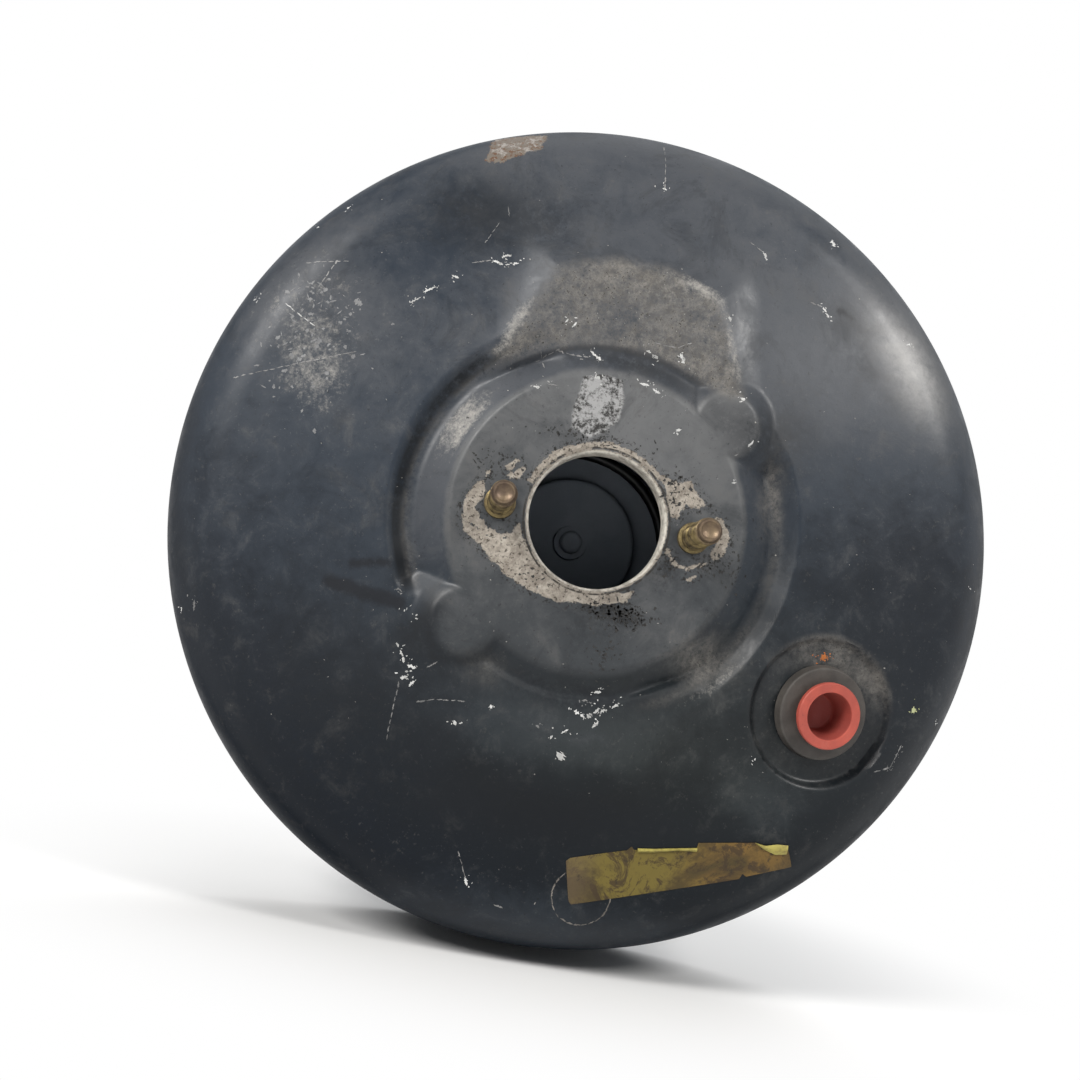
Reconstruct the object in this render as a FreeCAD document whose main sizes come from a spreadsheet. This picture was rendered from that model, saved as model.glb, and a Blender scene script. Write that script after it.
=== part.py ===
"""Vacuum brake booster: two pressed shells, a diaphragm piston, its valve and the pedal rod.

The booster's axis is Y. The master cylinder bolts to the hub at the -Y end, the bulkhead face
lies at y = 0 and the pedal rod leaves towards +Y. All sizes are millimetres and degrees.
Depths in the sheet are measured from the hub face towards the pedal, and sizes named ahead from
the bulkhead face towards the hub.
"""

import FreeCAD, Part
import math
import os

import Sketcher

SIZES = {
    # Pressed shells, the front one from the hub face and the rear one from the bulkhead face
    "body_depth": 124.0,
    "shell_radius": 135.0,
    "sheet": 2.0,
    "wall_flare": 0.8,
    "shoulder_depth": 17.0,
    "shoulder_radius": 24.0,
    "rim_ahead": 48.0,
    "rim_step": 1.5,
    "rim_swell": 4.5,
    "rim_length": 13.0,
    # Relief pressed into the front shell
    "hub_slope": 11.0,
    "channel_depth": 8.0,
    "channel_floor": 3.0,
    "channel_wall": 5.0,
    "channel_start": 33.0,
    "channel_sweep": 92.0,
    "dome_depth": 4.4,
    "lobe_radius": 9.3,
    "lobe_set_out": 5.8,
    "lobe_angle": 46.5,
    "fan_depth": 3.0,
    "fan_set_out": 1.0,
    "fan_foot_width": 78.0,
    "fan_length": 31.0,
    "fan_tip_width": 50.0,
    "fan_crown": 7.0,
    "fan_flare": 5.0,
    "fan_corner": 9.0,
    "fan_crown_corner": 27.0,
    # Bore and studs for the master cylinder
    "bore_radius": 20.8,
    "bore_lip": 7.0,
    "stud_web": 3.2,
    "stud_margin": 15.0,
    "stud_radius": 4.0,
    "stud_length": 26.0,
    "stud_chamfer": 0.9,
    "stud_shoulder_step": 0.4,
    "stud_head_step": 2.5,
    "stud_head": 4.0,
    "front_plate_inset": 1.5,
    "front_plate": 2.5,
    # Vacuum port
    "port_reach": 92.0,
    "port_angle": -29.5,
    "port_tilt": 12.0,
    "pocket_radius": 24.0,
    "pocket_wall": 2.0,
    "pocket_depth": 2.6,
    "port_hole_radius": 12.0,
    "grommet_rim": 3.0,
    "grommet_flange": 4.2,
    "grommet_edge": 1.4,
    "grommet_grip": 2.0,
    "grommet_lead": 1.0,
    "grommet_barb": 7.0,
    "grommet_bore_radius": 7.6,
    "plug_rim": 2.8,
    "plug_head": 6.0,
    "plug_edge": 0.8,
    "plug_land": 1.0,
    "plug_wall": 1.9,
    "plug_taper": 1.3,
    "plug_recess": 14.0,
    "plug_floor": 1.6,
    # Rear shell
    "bead_clamp": 8.0,
    "rear_wall_inset": 5.0,
    "rear_wall_ahead": 26.0,
    "ledge_inset": 23.0,
    "ledge_width": 11.0,
    "ledge_ahead": 17.0,
    "mount_face_radius": 75.0,
    "rear_bend": 5.0,
    "neck_length": 22.0,
    "neck_lip": 1.5,
    "neck_bend": 3.0,
    "crimp_count": 8.0,
    "crimp_angle": 7.0,
    "crimp_bite": 1.2,
    # Bulkhead studs and their plate
    "bulkhead_pitch_x": 80.0,
    "bulkhead_pitch_z": 66.0,
    "bulkhead_stud_length": 28.0,
    "bulkhead_head_step": 3.0,
    "rear_plate_margin": 14.0,
    "rear_plate_corner": 18.0,
    "rear_plate": 3.0,
    # Bush and seal in the neck
    "bush_set_back": 2.0,
    "bush_length": 14.0,
    "bush_wall": 3.8,
    "seal_lip": 2.0,
    "clip_thickness": 3.0,
    "clip_land": 0.6,
    # Valve body, each length from the plane before it
    "boss_wall": 9.0,
    "boss_length": 9.0,
    "disc_bore_radius": 13.3,
    "disc_bore_length": 26.0,
    "nose_bore_radius": 6.1,
    "nose_bore_length": 4.0,
    "plunger_bore_radius": 9.0,
    "plunger_bore_length": 14.5,
    "flange_radius": 46.0,
    "flange": 4.0,
    "groove_inset": 6.0,
    "groove": 6.0,
    "groove_lip": 3.0,
    "tube_wall": 3.0,
    "chamber_length": 14.5,
    "chamber_room": 2.3,
    "seat_height": 3.5,
    "seat_width": 1.2,
    "seat_reach": 2.2,
    "bead_chamber_length": 8.0,
    "bead_step": 2.0,
    "filter_step": 2.5,
    "filter_chamber_length": 56.0,
    "passage_radius": 2.2,
    # Plate and diaphragm
    "plate_sheet": 1.6,
    "plate_rim": 8.0,
    "plate_bend": 3.0,
    "rubber": 1.8,
    "bead_width": 7.0,
    "inner_bead_width": 5.0,
    "fold_room": 0.6,
    "fold_width": 7.6,
    "fold_rise": 3.7,
    "fold_ease": 0.6,
    # Reaction disc, output rod and its cage
    "disc_thickness": 8.0,
    "rod_head": 4.0,
    "output_rod_radius": 6.0,
    "output_rod_length": 21.8,
    "output_tip_radius": 4.0,
    "output_tip_corner": 1.5,
    "output_tip": 4.0,
    "cage_sheet": 1.4,
    "cage_bend": 1.6,
    "cage_flange_radius": 36.5,
    # Return spring
    "spring_wire": 1.9,
    "spring_inset": 3.5,
    "spring_turns": 6.0,
    # Control valve
    "valve_travel": 2.4,
    "key_rest_gap": 0.5,
    "key_set_back": 7.0,
    "key_thickness": 2.5,
    "key_width": 20.0,
    "key_overhang": 3.0,
    "core_radius": 5.5,
    "valve_rim": 1.8,
    "rim_thickness": 2.0,
    "socket_wall": 2.8,
    "socket_length": 6.0,
    "socket_neck_gap": 1.0,
    "ball_radius": 4.6,
    "ball_set_back": 1.0,
    "poppet_travel": 1.0,
    "poppet_air_gap": 0.8,
    "poppet_room": 0.5,
    "poppet_face": 2.5,
    "poppet_skin": 1.6,
    "poppet_bead": 3.5,
    "poppet_ring_thickness": 0.8,
    "poppet_ring_inset": 0.8,
    "poppet_ring_room": 0.4,
    "holder_sheet": 1.3,
    "holder_tube": 7.0,
    "holder_hole_radius": 9.0,
    "poppet_wire": 0.6,
    "poppet_spring_turns": 5.0,
    # Pedal rod and what rides on it
    "rod_radius": 5.0,
    "rod_neck_radius": 3.0,
    "rod_neck_length": 8.0,
    "rod_end_gap": 3.1,
    "rod_chamfer": 1.0,
    "rod_collar_step": 1.5,
    "rod_collar": 2.4,
    "washer_radius": 12.0,
    "washer_thickness": 1.6,
    "rod_spring_wire": 1.0,
    "rod_spring_length": 18.8,
    "rod_spring_front_inset": 5.0,
    "rod_spring_rear_inset": 2.5,
    "rod_spring_turns": 4.5,
    "nut_set_back": 16.0,
    "nut_height": 8.0,
    "nut_flats": 17.0,
    "clevis_boss_radius": 9.0,
    "clevis_boss": 13.0,
    "clevis_cheek": 6.0,
    "clevis_height": 20.0,
    "clevis_slot": 16.0,
    "clevis_floor": 7.0,
    "clevis_pin_reach": 12.9,
    "clevis_pin_radius": 5.1,
    # Filters and boot
    "filter_hole_radius": 9.6,
    "silencer_length": 9.0,
    "filter_length": 10.0,
    "filter_cap": 3.0,
    "cap_recess": 3.8,
    "boot_bead_inset": 7.0,
    "boot_bead_length": 6.0,
    "boot_bead": 3.0,
    "boot_collar_inset": 3.0,
    "boot_collar_length": 7.0,
    "boot_skin": 2.0,
    "boot_valley": 0.5,
    "boot_wave": 7.5,
    "boot_folds": 5.0,
    # Clearances
    "seat_gap": 0.1,
    "running_gap": 0.1,
    "free_gap": 0.3,
    "cutter_run": 1.0,
}

SHEET = "Sizes"


class Size:
    """A value together with the sheet expression that gives it."""

    def __init__(self, value, text):
        self.value = value
        self.text = text

    def __add__(self, other):
        other = as_size(other)
        return Size(self.value + other.value, f"({self.text} + {other.text})")

    def __radd__(self, other):
        return as_size(other) + self

    def __sub__(self, other):
        other = as_size(other)
        return Size(self.value - other.value, f"({self.text} - {other.text})")

    def __rsub__(self, other):
        return as_size(other) - self

    def __mul__(self, other):
        other = as_size(other)
        return Size(self.value * other.value, f"({self.text} * {other.text})")

    def __rmul__(self, other):
        return as_size(other) * self

    def __truediv__(self, other):
        other = as_size(other)
        return Size(self.value / other.value, f"({self.text} / {other.text})")

    def __rtruediv__(self, other):
        return as_size(other) / self

    def __neg__(self):
        return Size(-self.value, f"(0 - {self.text})")


def as_size(value):
    """Wraps a plain number as a Size."""
    return value if isinstance(value, Size) else Size(float(value), repr(float(value)))


def cos(angle):
    """Cosine of an angle in degrees."""
    angle = as_size(angle)
    return Size(math.cos(math.radians(angle.value)), f"cos({angle.text} * 1 deg)")


def sin(angle):
    """Sine of an angle in degrees."""
    angle = as_size(angle)
    return Size(math.sin(math.radians(angle.value)), f"sin({angle.text} * 1 deg)")


class Sheet:
    """The document's spreadsheet, read by alias."""

    def __init__(self, document):
        self.cells = document.addObject("Spreadsheet::Sheet", SHEET)
        for row, (alias, value) in enumerate(SIZES.items(), start=1):
            self.cells.set(f"A{row}", alias.replace("_", " "))
            self.cells.set(f"B{row}", str(value))
            self.cells.setAlias(f"B{row}", alias)

    def __getattr__(self, alias):
        return Size(SIZES[alias], f"{SHEET}.{alias}")


doc = FreeCAD.newDocument("brake_booster")
S = Sheet(doc)
doc.recompute()
nodes = {}


def node(name, item):
    """Registers a finished piece under its node name."""
    item.Label = name
    nodes[name] = item
    return item


def bind(item, name, size):
    """Binds a property to the sheet."""
    item.setExpression(name, as_size(size).text)


def depth(distance):
    """Y of a plane at a distance behind the hub face."""
    return as_size(distance) - S.body_depth


class Lines:
    """Planes and radii that several pieces share."""

    # Front shell: the pair of studs is set out from the bore, and the hub from the studs
    stud_x = S.bore_radius + S.sheet + S.stud_web + S.stud_radius
    stud_shoulder = S.stud_radius + S.stud_shoulder_step
    stud_hole = stud_shoulder + S.seat_gap
    hub_radius = stud_x + S.stud_margin
    hub_foot_radius = hub_radius + S.hub_slope
    channel_radius = hub_foot_radius + S.channel_floor + S.channel_wall
    rim_radius = S.shell_radius + S.rim_swell
    rim = -S.rim_ahead
    front_plate_radius = hub_radius - S.front_plate_inset
    # Control valve and the body around it, from the plunger outwards
    valve_rim_radius = S.plunger_bore_radius + S.valve_rim
    seat_radius = valve_rim_radius + S.seat_reach
    chamber_radius = seat_radius + S.seat_width + S.chamber_room
    bead_chamber_radius = chamber_radius + S.bead_step
    filter_chamber_radius = bead_chamber_radius + S.filter_step
    tube_radius = filter_chamber_radius + S.tube_wall
    groove_radius = tube_radius + S.groove_inset
    boss_radius = S.disc_bore_radius + S.boss_wall
    socket_radius = S.ball_radius + S.socket_wall
    # Rear shell
    bead_seat = rim + S.bead_clamp
    rear_wall_radius = S.shell_radius - S.rear_wall_inset
    neck_radius = tube_radius + S.running_gap + S.bush_wall + S.seat_gap + S.sheet
    neck_end = as_size(S.neck_length)
    rear_plate = -(S.sheet + S.rear_plate)
    # Valve body: the key rests just ahead of the neck's clip, and the rest is set out from it
    clip = S.bush_set_back - S.clip_thickness
    key = clip - S.key_rest_gap - S.key_thickness
    plunger_bore = key - S.key_set_back
    disc_floor = plunger_bore - S.nose_bore_length
    boss = disc_floor - S.disc_bore_length
    flange = boss + S.boss_length
    groove = flange + S.flange
    chamber = plunger_bore + S.plunger_bore_length
    bead_chamber = chamber + S.chamber_length
    filter_chamber = bead_chamber + S.bead_chamber_length
    tail = filter_chamber + S.filter_chamber_length
    # Planes of the control valve
    air_port = chamber + S.seat_height + S.poppet_travel
    ball = air_port + S.ball_set_back
    holder_back = bead_chamber + S.poppet_bead + S.holder_sheet + S.seat_gap * 2
    # Pedal rod
    washer = holder_back + S.rod_spring_length + S.seat_gap * 2
    nut = tail + S.nut_set_back
    clevis = nut + S.nut_height + S.seat_gap
    shoulder = clevis + S.clevis_boss
    slot = shoulder + S.clevis_floor
    pin = slot + S.clevis_pin_reach


def place(item, x=0.0, y=0.0, z=0.0, axis=(0, 1, 0), angle=0.0):
    """Binds a placement: a turn about an axis, then a shift."""
    shift = "; ".join(as_size(v).text for v in (x, y, z))
    turn = "; ".join(as_size(v).text for v in axis)
    text = f"placement(vector({shift}); rotation(vector({turn}); {as_size(angle).text}))"
    item.setExpression("Placement", text)
    return item


def corner_arc(before, corner, after, radius):
    """Tangent points and arc of a rounded corner."""
    inward = (before - corner).normalize()
    onward = (after - corner).normalize()
    half = inward.getAngle(onward) / 2
    reach = radius / math.tan(half)
    centre = corner + (inward + onward).normalize() * (radius / math.sin(half))
    first = corner + inward * reach
    last = corner + onward * reach
    turns_left = (corner - before).cross(after - corner).z > 0
    start, end = (first, last) if turns_left else (last, first)
    a = math.atan2(start.y - centre.y, start.x - centre.x)
    b = math.atan2(end.y - centre.y, end.x - centre.x)
    if b < a:
        b += 2 * math.pi
    circle = Part.Circle(centre, FreeCAD.Vector(0, 0, 1), radius)
    return first, last, Part.ArcOfCircle(circle, a, b), turns_left


def draw(sketch, points):
    """Draws a closed outline of (across, along[, corner radius]) and binds every corner to the sheet."""
    corners = [tuple(as_size(v) for v in point) for point in points]
    flat = [FreeCAD.Vector(c[0].value, c[1].value, 0) for c in corners]
    count = len(corners)
    ends = []
    for i in range(count):
        if len(corners[i]) == 3:
            ends.append(corner_arc(flat[i - 1], flat[i], flat[(i + 1) % count], corners[i][2].value))
        else:
            ends.append((flat[i], flat[i], None, True))
    lines = []
    for i in range(count):
        start = ends[i][1]
        end = ends[(i + 1) % count][0]
        lines.append(sketch.addGeometry(Part.LineSegment(start, end), False))
    for i in range(count):
        before, after = lines[i - 1], lines[i]
        across, along = corners[i][0], corners[i][1]
        arc, turns_left = ends[i][2], ends[i][3]
        if arc is None:
            sketch.addConstraint(Sketcher.Constraint("Coincident", before, 2, after, 1))
            fix_point(sketch, after, 1, across, along)
            continue
        curve = sketch.addGeometry(arc, False)
        mark = sketch.addGeometry(Part.Point(flat[i]), True)
        first, last = (1, 2) if turns_left else (2, 1)
        fix_point(sketch, mark, 1, across, along)
        sketch.addConstraint(Sketcher.Constraint("PointOnObject", mark, 1, before))
        sketch.addConstraint(Sketcher.Constraint("PointOnObject", mark, 1, after))
        sketch.addConstraint(Sketcher.Constraint("Tangent", before, 2, curve, first))
        sketch.addConstraint(Sketcher.Constraint("Tangent", curve, last, after, 1))
        radius = sketch.addConstraint(Sketcher.Constraint("Radius", curve, corners[i][2].value))
        bind(sketch, f"Constraints[{radius}]", corners[i][2])


def fix_point(sketch, item, end, across, along):
    """Fixes a point of the sketch by two bound distances from the origin."""
    if across.value == 0.0:
        sketch.addConstraint(Sketcher.Constraint("PointOnObject", item, end, -2))
    else:
        rule = Sketcher.Constraint("DistanceX", -1, 1, item, end, across.value)
        bind(sketch, f"Constraints[{sketch.addConstraint(rule)}]", across)
    rule = Sketcher.Constraint("DistanceY", -1, 1, item, end, along.value)
    bind(sketch, f"Constraints[{sketch.addConstraint(rule)}]", along)


def plane_of(body, role):
    """One of a body's origin planes."""
    return next(f for f in body.Origin.OriginFeatures if f.Role == role)


def lathe_sketch(body, name, points, turn=0.0):
    """A half profile of (radius, y) points, its plane turned about Y."""
    sketch = body.newObject("Sketcher::SketchObject", name + "_profile")
    sketch.AttachmentSupport = (plane_of(body, "XY_Plane"), [""])
    sketch.MapMode = "FlatFace"
    turn = as_size(turn)
    if turn.value:
        text = f"placement(vector(0; 0; 0); rotation(vector(0; 1; 0); {turn.text}))"
        sketch.setExpression("AttachmentOffset", text)
    draw(sketch, points)
    return sketch


def spin(body, name, points, cut=False, sweep=360.0, turn=0.0):
    """Revolves a profile about Y, to add it to the body or cut it away."""
    kind = "PartDesign::Groove" if cut else "PartDesign::Revolution"
    sketch = lathe_sketch(body, name, points, turn)
    doc.recompute()
    feature = body.newObject(kind, name)
    feature.Profile = sketch
    feature.ReferenceAxis = (sketch, ["V_Axis"])
    feature.Angle = as_size(sweep).value
    bind(feature, "Angle", sweep)
    sketch.Visibility = False
    return feature


def lathe(name, points):
    """A body turned about Y from one profile."""
    body = doc.addObject("PartDesign::Body", name)
    spin(body, name + "_turning", points)
    return body


def coil(name, wire, start_radius, end_radius, start, end, turns):
    """A helical spring about Y between two planes."""
    body = doc.addObject("PartDesign::Body", name)
    sketch = body.newObject("Sketcher::SketchObject", name + "_wire")
    sketch.AttachmentSupport = (plane_of(body, "XY_Plane"), [""])
    sketch.MapMode = "FlatFace"
    low = as_size(start) + wire
    centre = FreeCAD.Vector(start_radius.value, low.value, 0)
    circle = sketch.addGeometry(Part.Circle(centre, FreeCAD.Vector(0, 0, 1), wire.value), False)
    fix_point(sketch, circle, 3, start_radius, low)
    radius = sketch.addConstraint(Sketcher.Constraint("Radius", circle, wire.value))
    bind(sketch, f"Constraints[{radius}]", wire)
    doc.recompute()
    helix = body.newObject("PartDesign::AdditiveHelix", name + "_turns")
    helix.Profile = sketch
    helix.ReferenceAxis = (sketch, ["V_Axis"])
    helix.Mode = "height-turns-growth"
    height = as_size(end) - start - 2 * wire
    bind(helix, "Height", height)
    bind(helix, "Turns", turns)
    bind(helix, "Growth", (end_radius - start_radius) / turns)
    sketch.Visibility = False
    return body


def rod_tool(name, radius, low, high, x=0.0, z=0.0):
    """A plain cylinder along Y between two planes."""
    tool = doc.addObject("Part::Cylinder", name)
    bind(tool, "Radius", radius)
    bind(tool, "Height", as_size(high) - low)
    return place(tool, x, low, z, axis=(1, 0, 0), angle=-90)


def cross_tool(name, radius, length, y, z=0.0):
    """A plain cylinder along X, centred on the axis plane."""
    tool = doc.addObject("Part::Cylinder", name)
    bind(tool, "Radius", radius)
    bind(tool, "Height", length)
    return place(tool, -length / 2, y, z, axis=(0, 1, 0), angle=90)


def block(name, width, low, high, height, x=None):
    """A box along Y between two planes, centred on the axis unless x gives its side."""
    tool = doc.addObject("Part::Box", name)
    bind(tool, "Length", width)
    bind(tool, "Width", as_size(high) - low)
    bind(tool, "Height", height)
    side = -as_size(width) / 2 if x is None else x
    return place(tool, side, low, -as_size(height) / 2)


def ball(name, radius, y):
    """A sphere centred on the axis."""
    tool = doc.addObject("Part::Sphere", name)
    bind(tool, "Radius", radius)
    return place(tool, 0.0, y, 0.0)


def cut(name, base, tools):
    """The base with each tool taken away."""
    tool = tools[0] if len(tools) == 1 else fuse(name + "_cutters", tools)
    result = doc.addObject("Part::Cut", name)
    result.Base = base
    result.Tool = tool
    return result


def fuse(name, pieces):
    """Several pieces joined."""
    result = doc.addObject("Part::MultiFuse", name)
    result.Shapes = pieces
    return result


def group(name, pieces):
    """Separate solids kept in one node."""
    result = doc.addObject("Part::Compound", name)
    result.Links = pieces
    return result


def slab(name, points, low, thickness, turn=0.0):
    """A flat outline of (x, z) points given a thickness along Y."""
    sketch = outline(name + "_outline", points, low, turn)
    result = doc.addObject("Part::Extrusion", name)
    result.Base = sketch
    result.DirMode = "Custom"
    result.Dir = FreeCAD.Vector(0, 1, 0)
    result.Solid = True
    bind(result, "LengthFwd", thickness)
    return result


def outline(name, points, y, turn=0.0):
    """A free sketch across the axis: its first coordinate is X, its second is Z."""
    sketch = doc.addObject("Sketcher::SketchObject", name)
    draw(sketch, points)
    upright = "rotation(vector(1; 0; 0); 90)"
    swing = f"rotation(vector(0; 1; 0); {as_size(turn).text})"
    text = f"placement(vector(0; {as_size(y).text}; 0); {swing} * {upright})"
    sketch.setExpression("Placement", text)
    return sketch


def front_form(name, skin):
    """Solid bounded by the front shell's pressing, set back by the skin."""
    body = doc.addObject("PartDesign::Body", name)
    top = depth(S.dome_depth + skin)
    wall = S.shell_radius - skin
    rim = Lines.rim_radius - skin
    rim_y = Lines.rim + skin
    back = Lines.rim + S.rim_length + skin
    dome = [
        (0, top),
        (Lines.channel_radius, top),
        (wall, depth(S.shoulder_depth + skin), S.shoulder_radius - skin),
        (wall + S.wall_flare, rim_y),
        (rim, rim_y + S.rim_step),
        (rim, back),
        (0, back),
    ]
    spin(body, name + "_dome", dome)
    face = depth(skin)
    floor = depth(S.channel_depth + skin)
    channel = [
        (Lines.hub_radius, face),
        (Lines.hub_foot_radius, floor),
        (Lines.hub_foot_radius + S.channel_floor, floor),
        (Lines.channel_radius, top),
        (Lines.channel_radius, face),
    ]
    for side in (0, 180):
        label = f"{name}_channel_{side}"
        spin(body, label, channel, cut=True, sweep=S.channel_sweep, turn=side - S.channel_start)
    hub = [(0, face), (Lines.hub_radius, face), (Lines.hub_foot_radius, floor), (0, floor)]
    spin(body, name + "_hub", hub)
    return fuse(name + "_relief", [body] + lobes(name, face, floor) + fans(name, skin))


def lobes(name, face, floor):
    """The two round lobes on the hub's edge, with the hub's own slope."""
    pieces = []
    for side in (0, 180):
        cone = doc.addObject("Part::Cone", f"{name}_lobe_{side}")
        bind(cone, "Radius1", S.lobe_radius)
        bind(cone, "Radius2", S.lobe_radius + S.hub_slope)
        bind(cone, "Height", floor - face)
        angle = S.lobe_angle + side
        x = (Lines.hub_radius + S.lobe_set_out) * cos(angle)
        z = (Lines.hub_radius + S.lobe_set_out) * sin(angle)
        pieces.append(place(cone, x, face, z, axis=(1, 0, 0), angle=-90))
    return pieces


def fans(name, skin):
    """The two raised fans above and below the hub, each lofted from its plateau to the dome."""
    pieces = []
    low = S.fan_depth + skin
    foot_height = Lines.hub_radius + S.fan_set_out
    tip_height = foot_height + S.fan_length
    for side in (0, 180):
        rings = []
        for step, spread in ((0, as_size(0)), (1, S.fan_flare)):
            foot = S.fan_foot_width / 2 + spread
            tip = S.fan_tip_width / 2 + spread
            points = [
                (-foot, Lines.hub_radius / 2),
                (foot, Lines.hub_radius / 2),
                (foot, foot_height, S.fan_corner),
                (tip, tip_height + spread, S.fan_corner),
                (0, tip_height + S.fan_crown + spread, S.fan_crown_corner),
                (-tip, tip_height + spread, S.fan_corner),
                (-foot, foot_height, S.fan_corner),
            ]
            y = depth(low + step * (S.channel_depth - S.fan_depth))
            rings.append(outline(f"{name}_fan_{side}_{step}", points, y, side))
        loft = doc.addObject("Part::Loft", f"{name}_fan_{side}")
        loft.Sections = rings
        loft.Solid = True
        loft.Ruled = True
        pieces.append(loft)
    return pieces


def port_place(item):
    """Places a piece modelled about Y onto the floor of the vacuum port's pocket."""
    x = S.port_reach * cos(S.port_angle)
    z = S.port_reach * sin(S.port_angle)
    slope = S.shoulder_depth - S.dome_depth
    run = S.shell_radius - Lines.channel_radius
    on_dome = S.dome_depth + slope * (S.port_reach - Lines.channel_radius) / run
    y = depth(on_dome + S.pocket_depth)
    axis = (-sin(S.port_angle), 0, cos(S.port_angle))
    return place(item, x, y, z, axis=axis, angle=S.port_tilt)


POCKET_SLOPE = 3


def pocket_tool(name, skin):
    """The recess of the vacuum port, cut away from a front form, its side sloping outwards."""
    rise = S.pocket_depth * POCKET_SLOPE
    floor = as_size(skin)
    points = [
        (0, floor),
        (S.pocket_radius - S.pocket_wall, floor),
        (S.pocket_radius + S.pocket_wall * 2, floor - rise),
        (0, floor - rise),
    ]
    return port_place(lathe(name, points))


def front_shell():
    """The front pressing with its rim, bore lip, stud holes and port."""
    outside = cut("outside", front_form("outside_form", as_size(0)), [pocket_tool("pocket_out", 0)])
    inside = cut("inside", front_form("inside_form", S.sheet), [pocket_tool("pocket_in", S.sheet)])
    skin = cut("pressing", outside, [inside])
    lip = rod_tool("bore_lip_tube", S.bore_radius + S.sheet, depth(0), depth(S.bore_lip))
    bites, dents = crimps()
    solid = fuse("pressing_with_lip", [skin, lip, bites])
    front = depth(-S.cutter_run)
    holes = [rod_tool("bore", S.bore_radius, front, depth(S.bore_lip + S.cutter_run)), dents]
    for side in (-1, 1):
        back = depth(S.sheet + S.cutter_run)
        holes.append(rod_tool(f"stud_hole_{side + 1}", Lines.stud_hole, front, back, side * Lines.stud_x))
    reach = S.port_hole_radius
    far = S.sheet + S.grommet_flange
    port = lathe("port_hole", [(0, -S.sheet), (reach, -S.sheet), (reach, far), (0, far)])
    holes.append(port_place(port))
    node("front_shell", cut("front_shell", solid, holes))


def crimps():
    """Lances pressed into the rim that lock the rear shell, and the dents they leave outside."""
    outer = Lines.rim_radius - S.crimp_bite
    inner = outer - S.sheet
    clear = Lines.rim_radius + S.cutter_run
    low = Lines.bead_seat + S.sheet + S.seat_gap
    high = Lines.rim + S.rim_length
    past = high + S.cutter_run
    bite = [(inner, low), (outer, low), (outer, high), (inner, high)]
    dent = [(outer, low), (clear, low), (clear, past), (outer, past)]
    tools = []
    for name, points in (("crimp_bites", bite), ("crimp_dents", dent)):
        pieces = []
        for k in range(int(SIZES["crimp_count"])):
            body = doc.addObject("PartDesign::Body", f"{name}_{k}")
            turn = k * 360.0 / S.crimp_count + 360.0 / S.crimp_count / 2
            spin(body, f"{name}_{k}_turn", points, sweep=S.crimp_angle, turn=turn)
            pieces.append(body)
        tools.append(fuse(name, pieces))
    return tools


def front_plate():
    """The ring that backs the hub and carries the master cylinder studs."""
    low = depth(S.sheet)
    high = depth(S.sheet + S.front_plate)
    inner = S.bore_radius + S.sheet + S.seat_gap
    outer = Lines.front_plate_radius
    ring = lathe("front_plate_ring", [(inner, low), (outer, low), (outer, high), (inner, high)])
    holes = []
    for side in (-1, 1):
        ends = (low - S.cutter_run, high + S.cutter_run)
        holes.append(rod_tool(f"plate_hole_{side + 1}", Lines.stud_hole, *ends, side * Lines.stud_x))
    node("front_plate", cut("front_plate", ring, holes))


def stud(name, root, face, tip, head_radius):
    """A pressed-in stud along Y: head behind the root plane, shoulder up to the face, thread to the tip."""
    way = 1 if tip.value > root.value else -1
    thread = S.stud_radius
    points = [
        (0, root - way * S.stud_head),
        (head_radius, root - way * S.stud_head),
        (head_radius, root),
        (Lines.stud_shoulder, root),
        (Lines.stud_shoulder, face),
        (thread, face),
        (thread, tip - way * S.stud_chamfer),
        (thread - S.stud_chamfer, tip),
        (0, tip),
    ]
    return lathe(name, points)


def master_cylinder_studs():
    """The pair of studs that clamp the master cylinder."""
    root = depth(S.sheet + S.front_plate)
    pieces = []
    for side in (-1, 1):
        head = S.stud_radius + S.stud_head_step
        item = stud(f"master_stud_{side + 1}", root, depth(0), depth(-S.stud_length), head)
        pieces.append(place(item, side * Lines.stud_x))
    node("master_cylinder_studs", group("master_cylinder_studs", pieces))


def vacuum_port():
    """The rubber grommet in the pocket and the transit plug in it."""
    bore = S.grommet_bore_radius
    hole = S.port_hole_radius - S.seat_gap
    rim = S.port_hole_radius + S.grommet_rim
    grommet = [
        (bore, -S.grommet_flange),
        (rim, -S.grommet_flange, S.grommet_edge),
        (rim, -S.seat_gap / 2),
        (hole, -S.seat_gap / 2),
        (hole, S.sheet),
        (S.port_hole_radius + S.grommet_grip, S.sheet),
        (S.port_hole_radius - S.grommet_lead, S.sheet + S.grommet_barb),
        (bore, S.sheet + S.grommet_barb),
    ]
    node("check_valve_grommet", port_place(lathe("check_valve_grommet", grommet)))
    front = -(S.grommet_flange + S.plug_head)
    shank = S.grommet_bore_radius - S.seat_gap
    floor = front + S.plug_recess
    inner = shank - S.plug_wall
    mouth = inner + S.plug_taper
    head = S.grommet_bore_radius + S.plug_rim
    plug = [
        (0, floor),
        (inner, floor),
        (mouth, front + S.plug_land),
        (mouth, front),
        (head, front, S.plug_edge),
        (head, -S.grommet_flange),
        (shank, -S.grommet_flange),
        (shank, floor),
        (shank - S.plug_land, floor + S.plug_floor),
        (0, floor + S.plug_floor),
    ]
    node("transit_plug", port_place(lathe("transit_plug", plug)))


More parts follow.
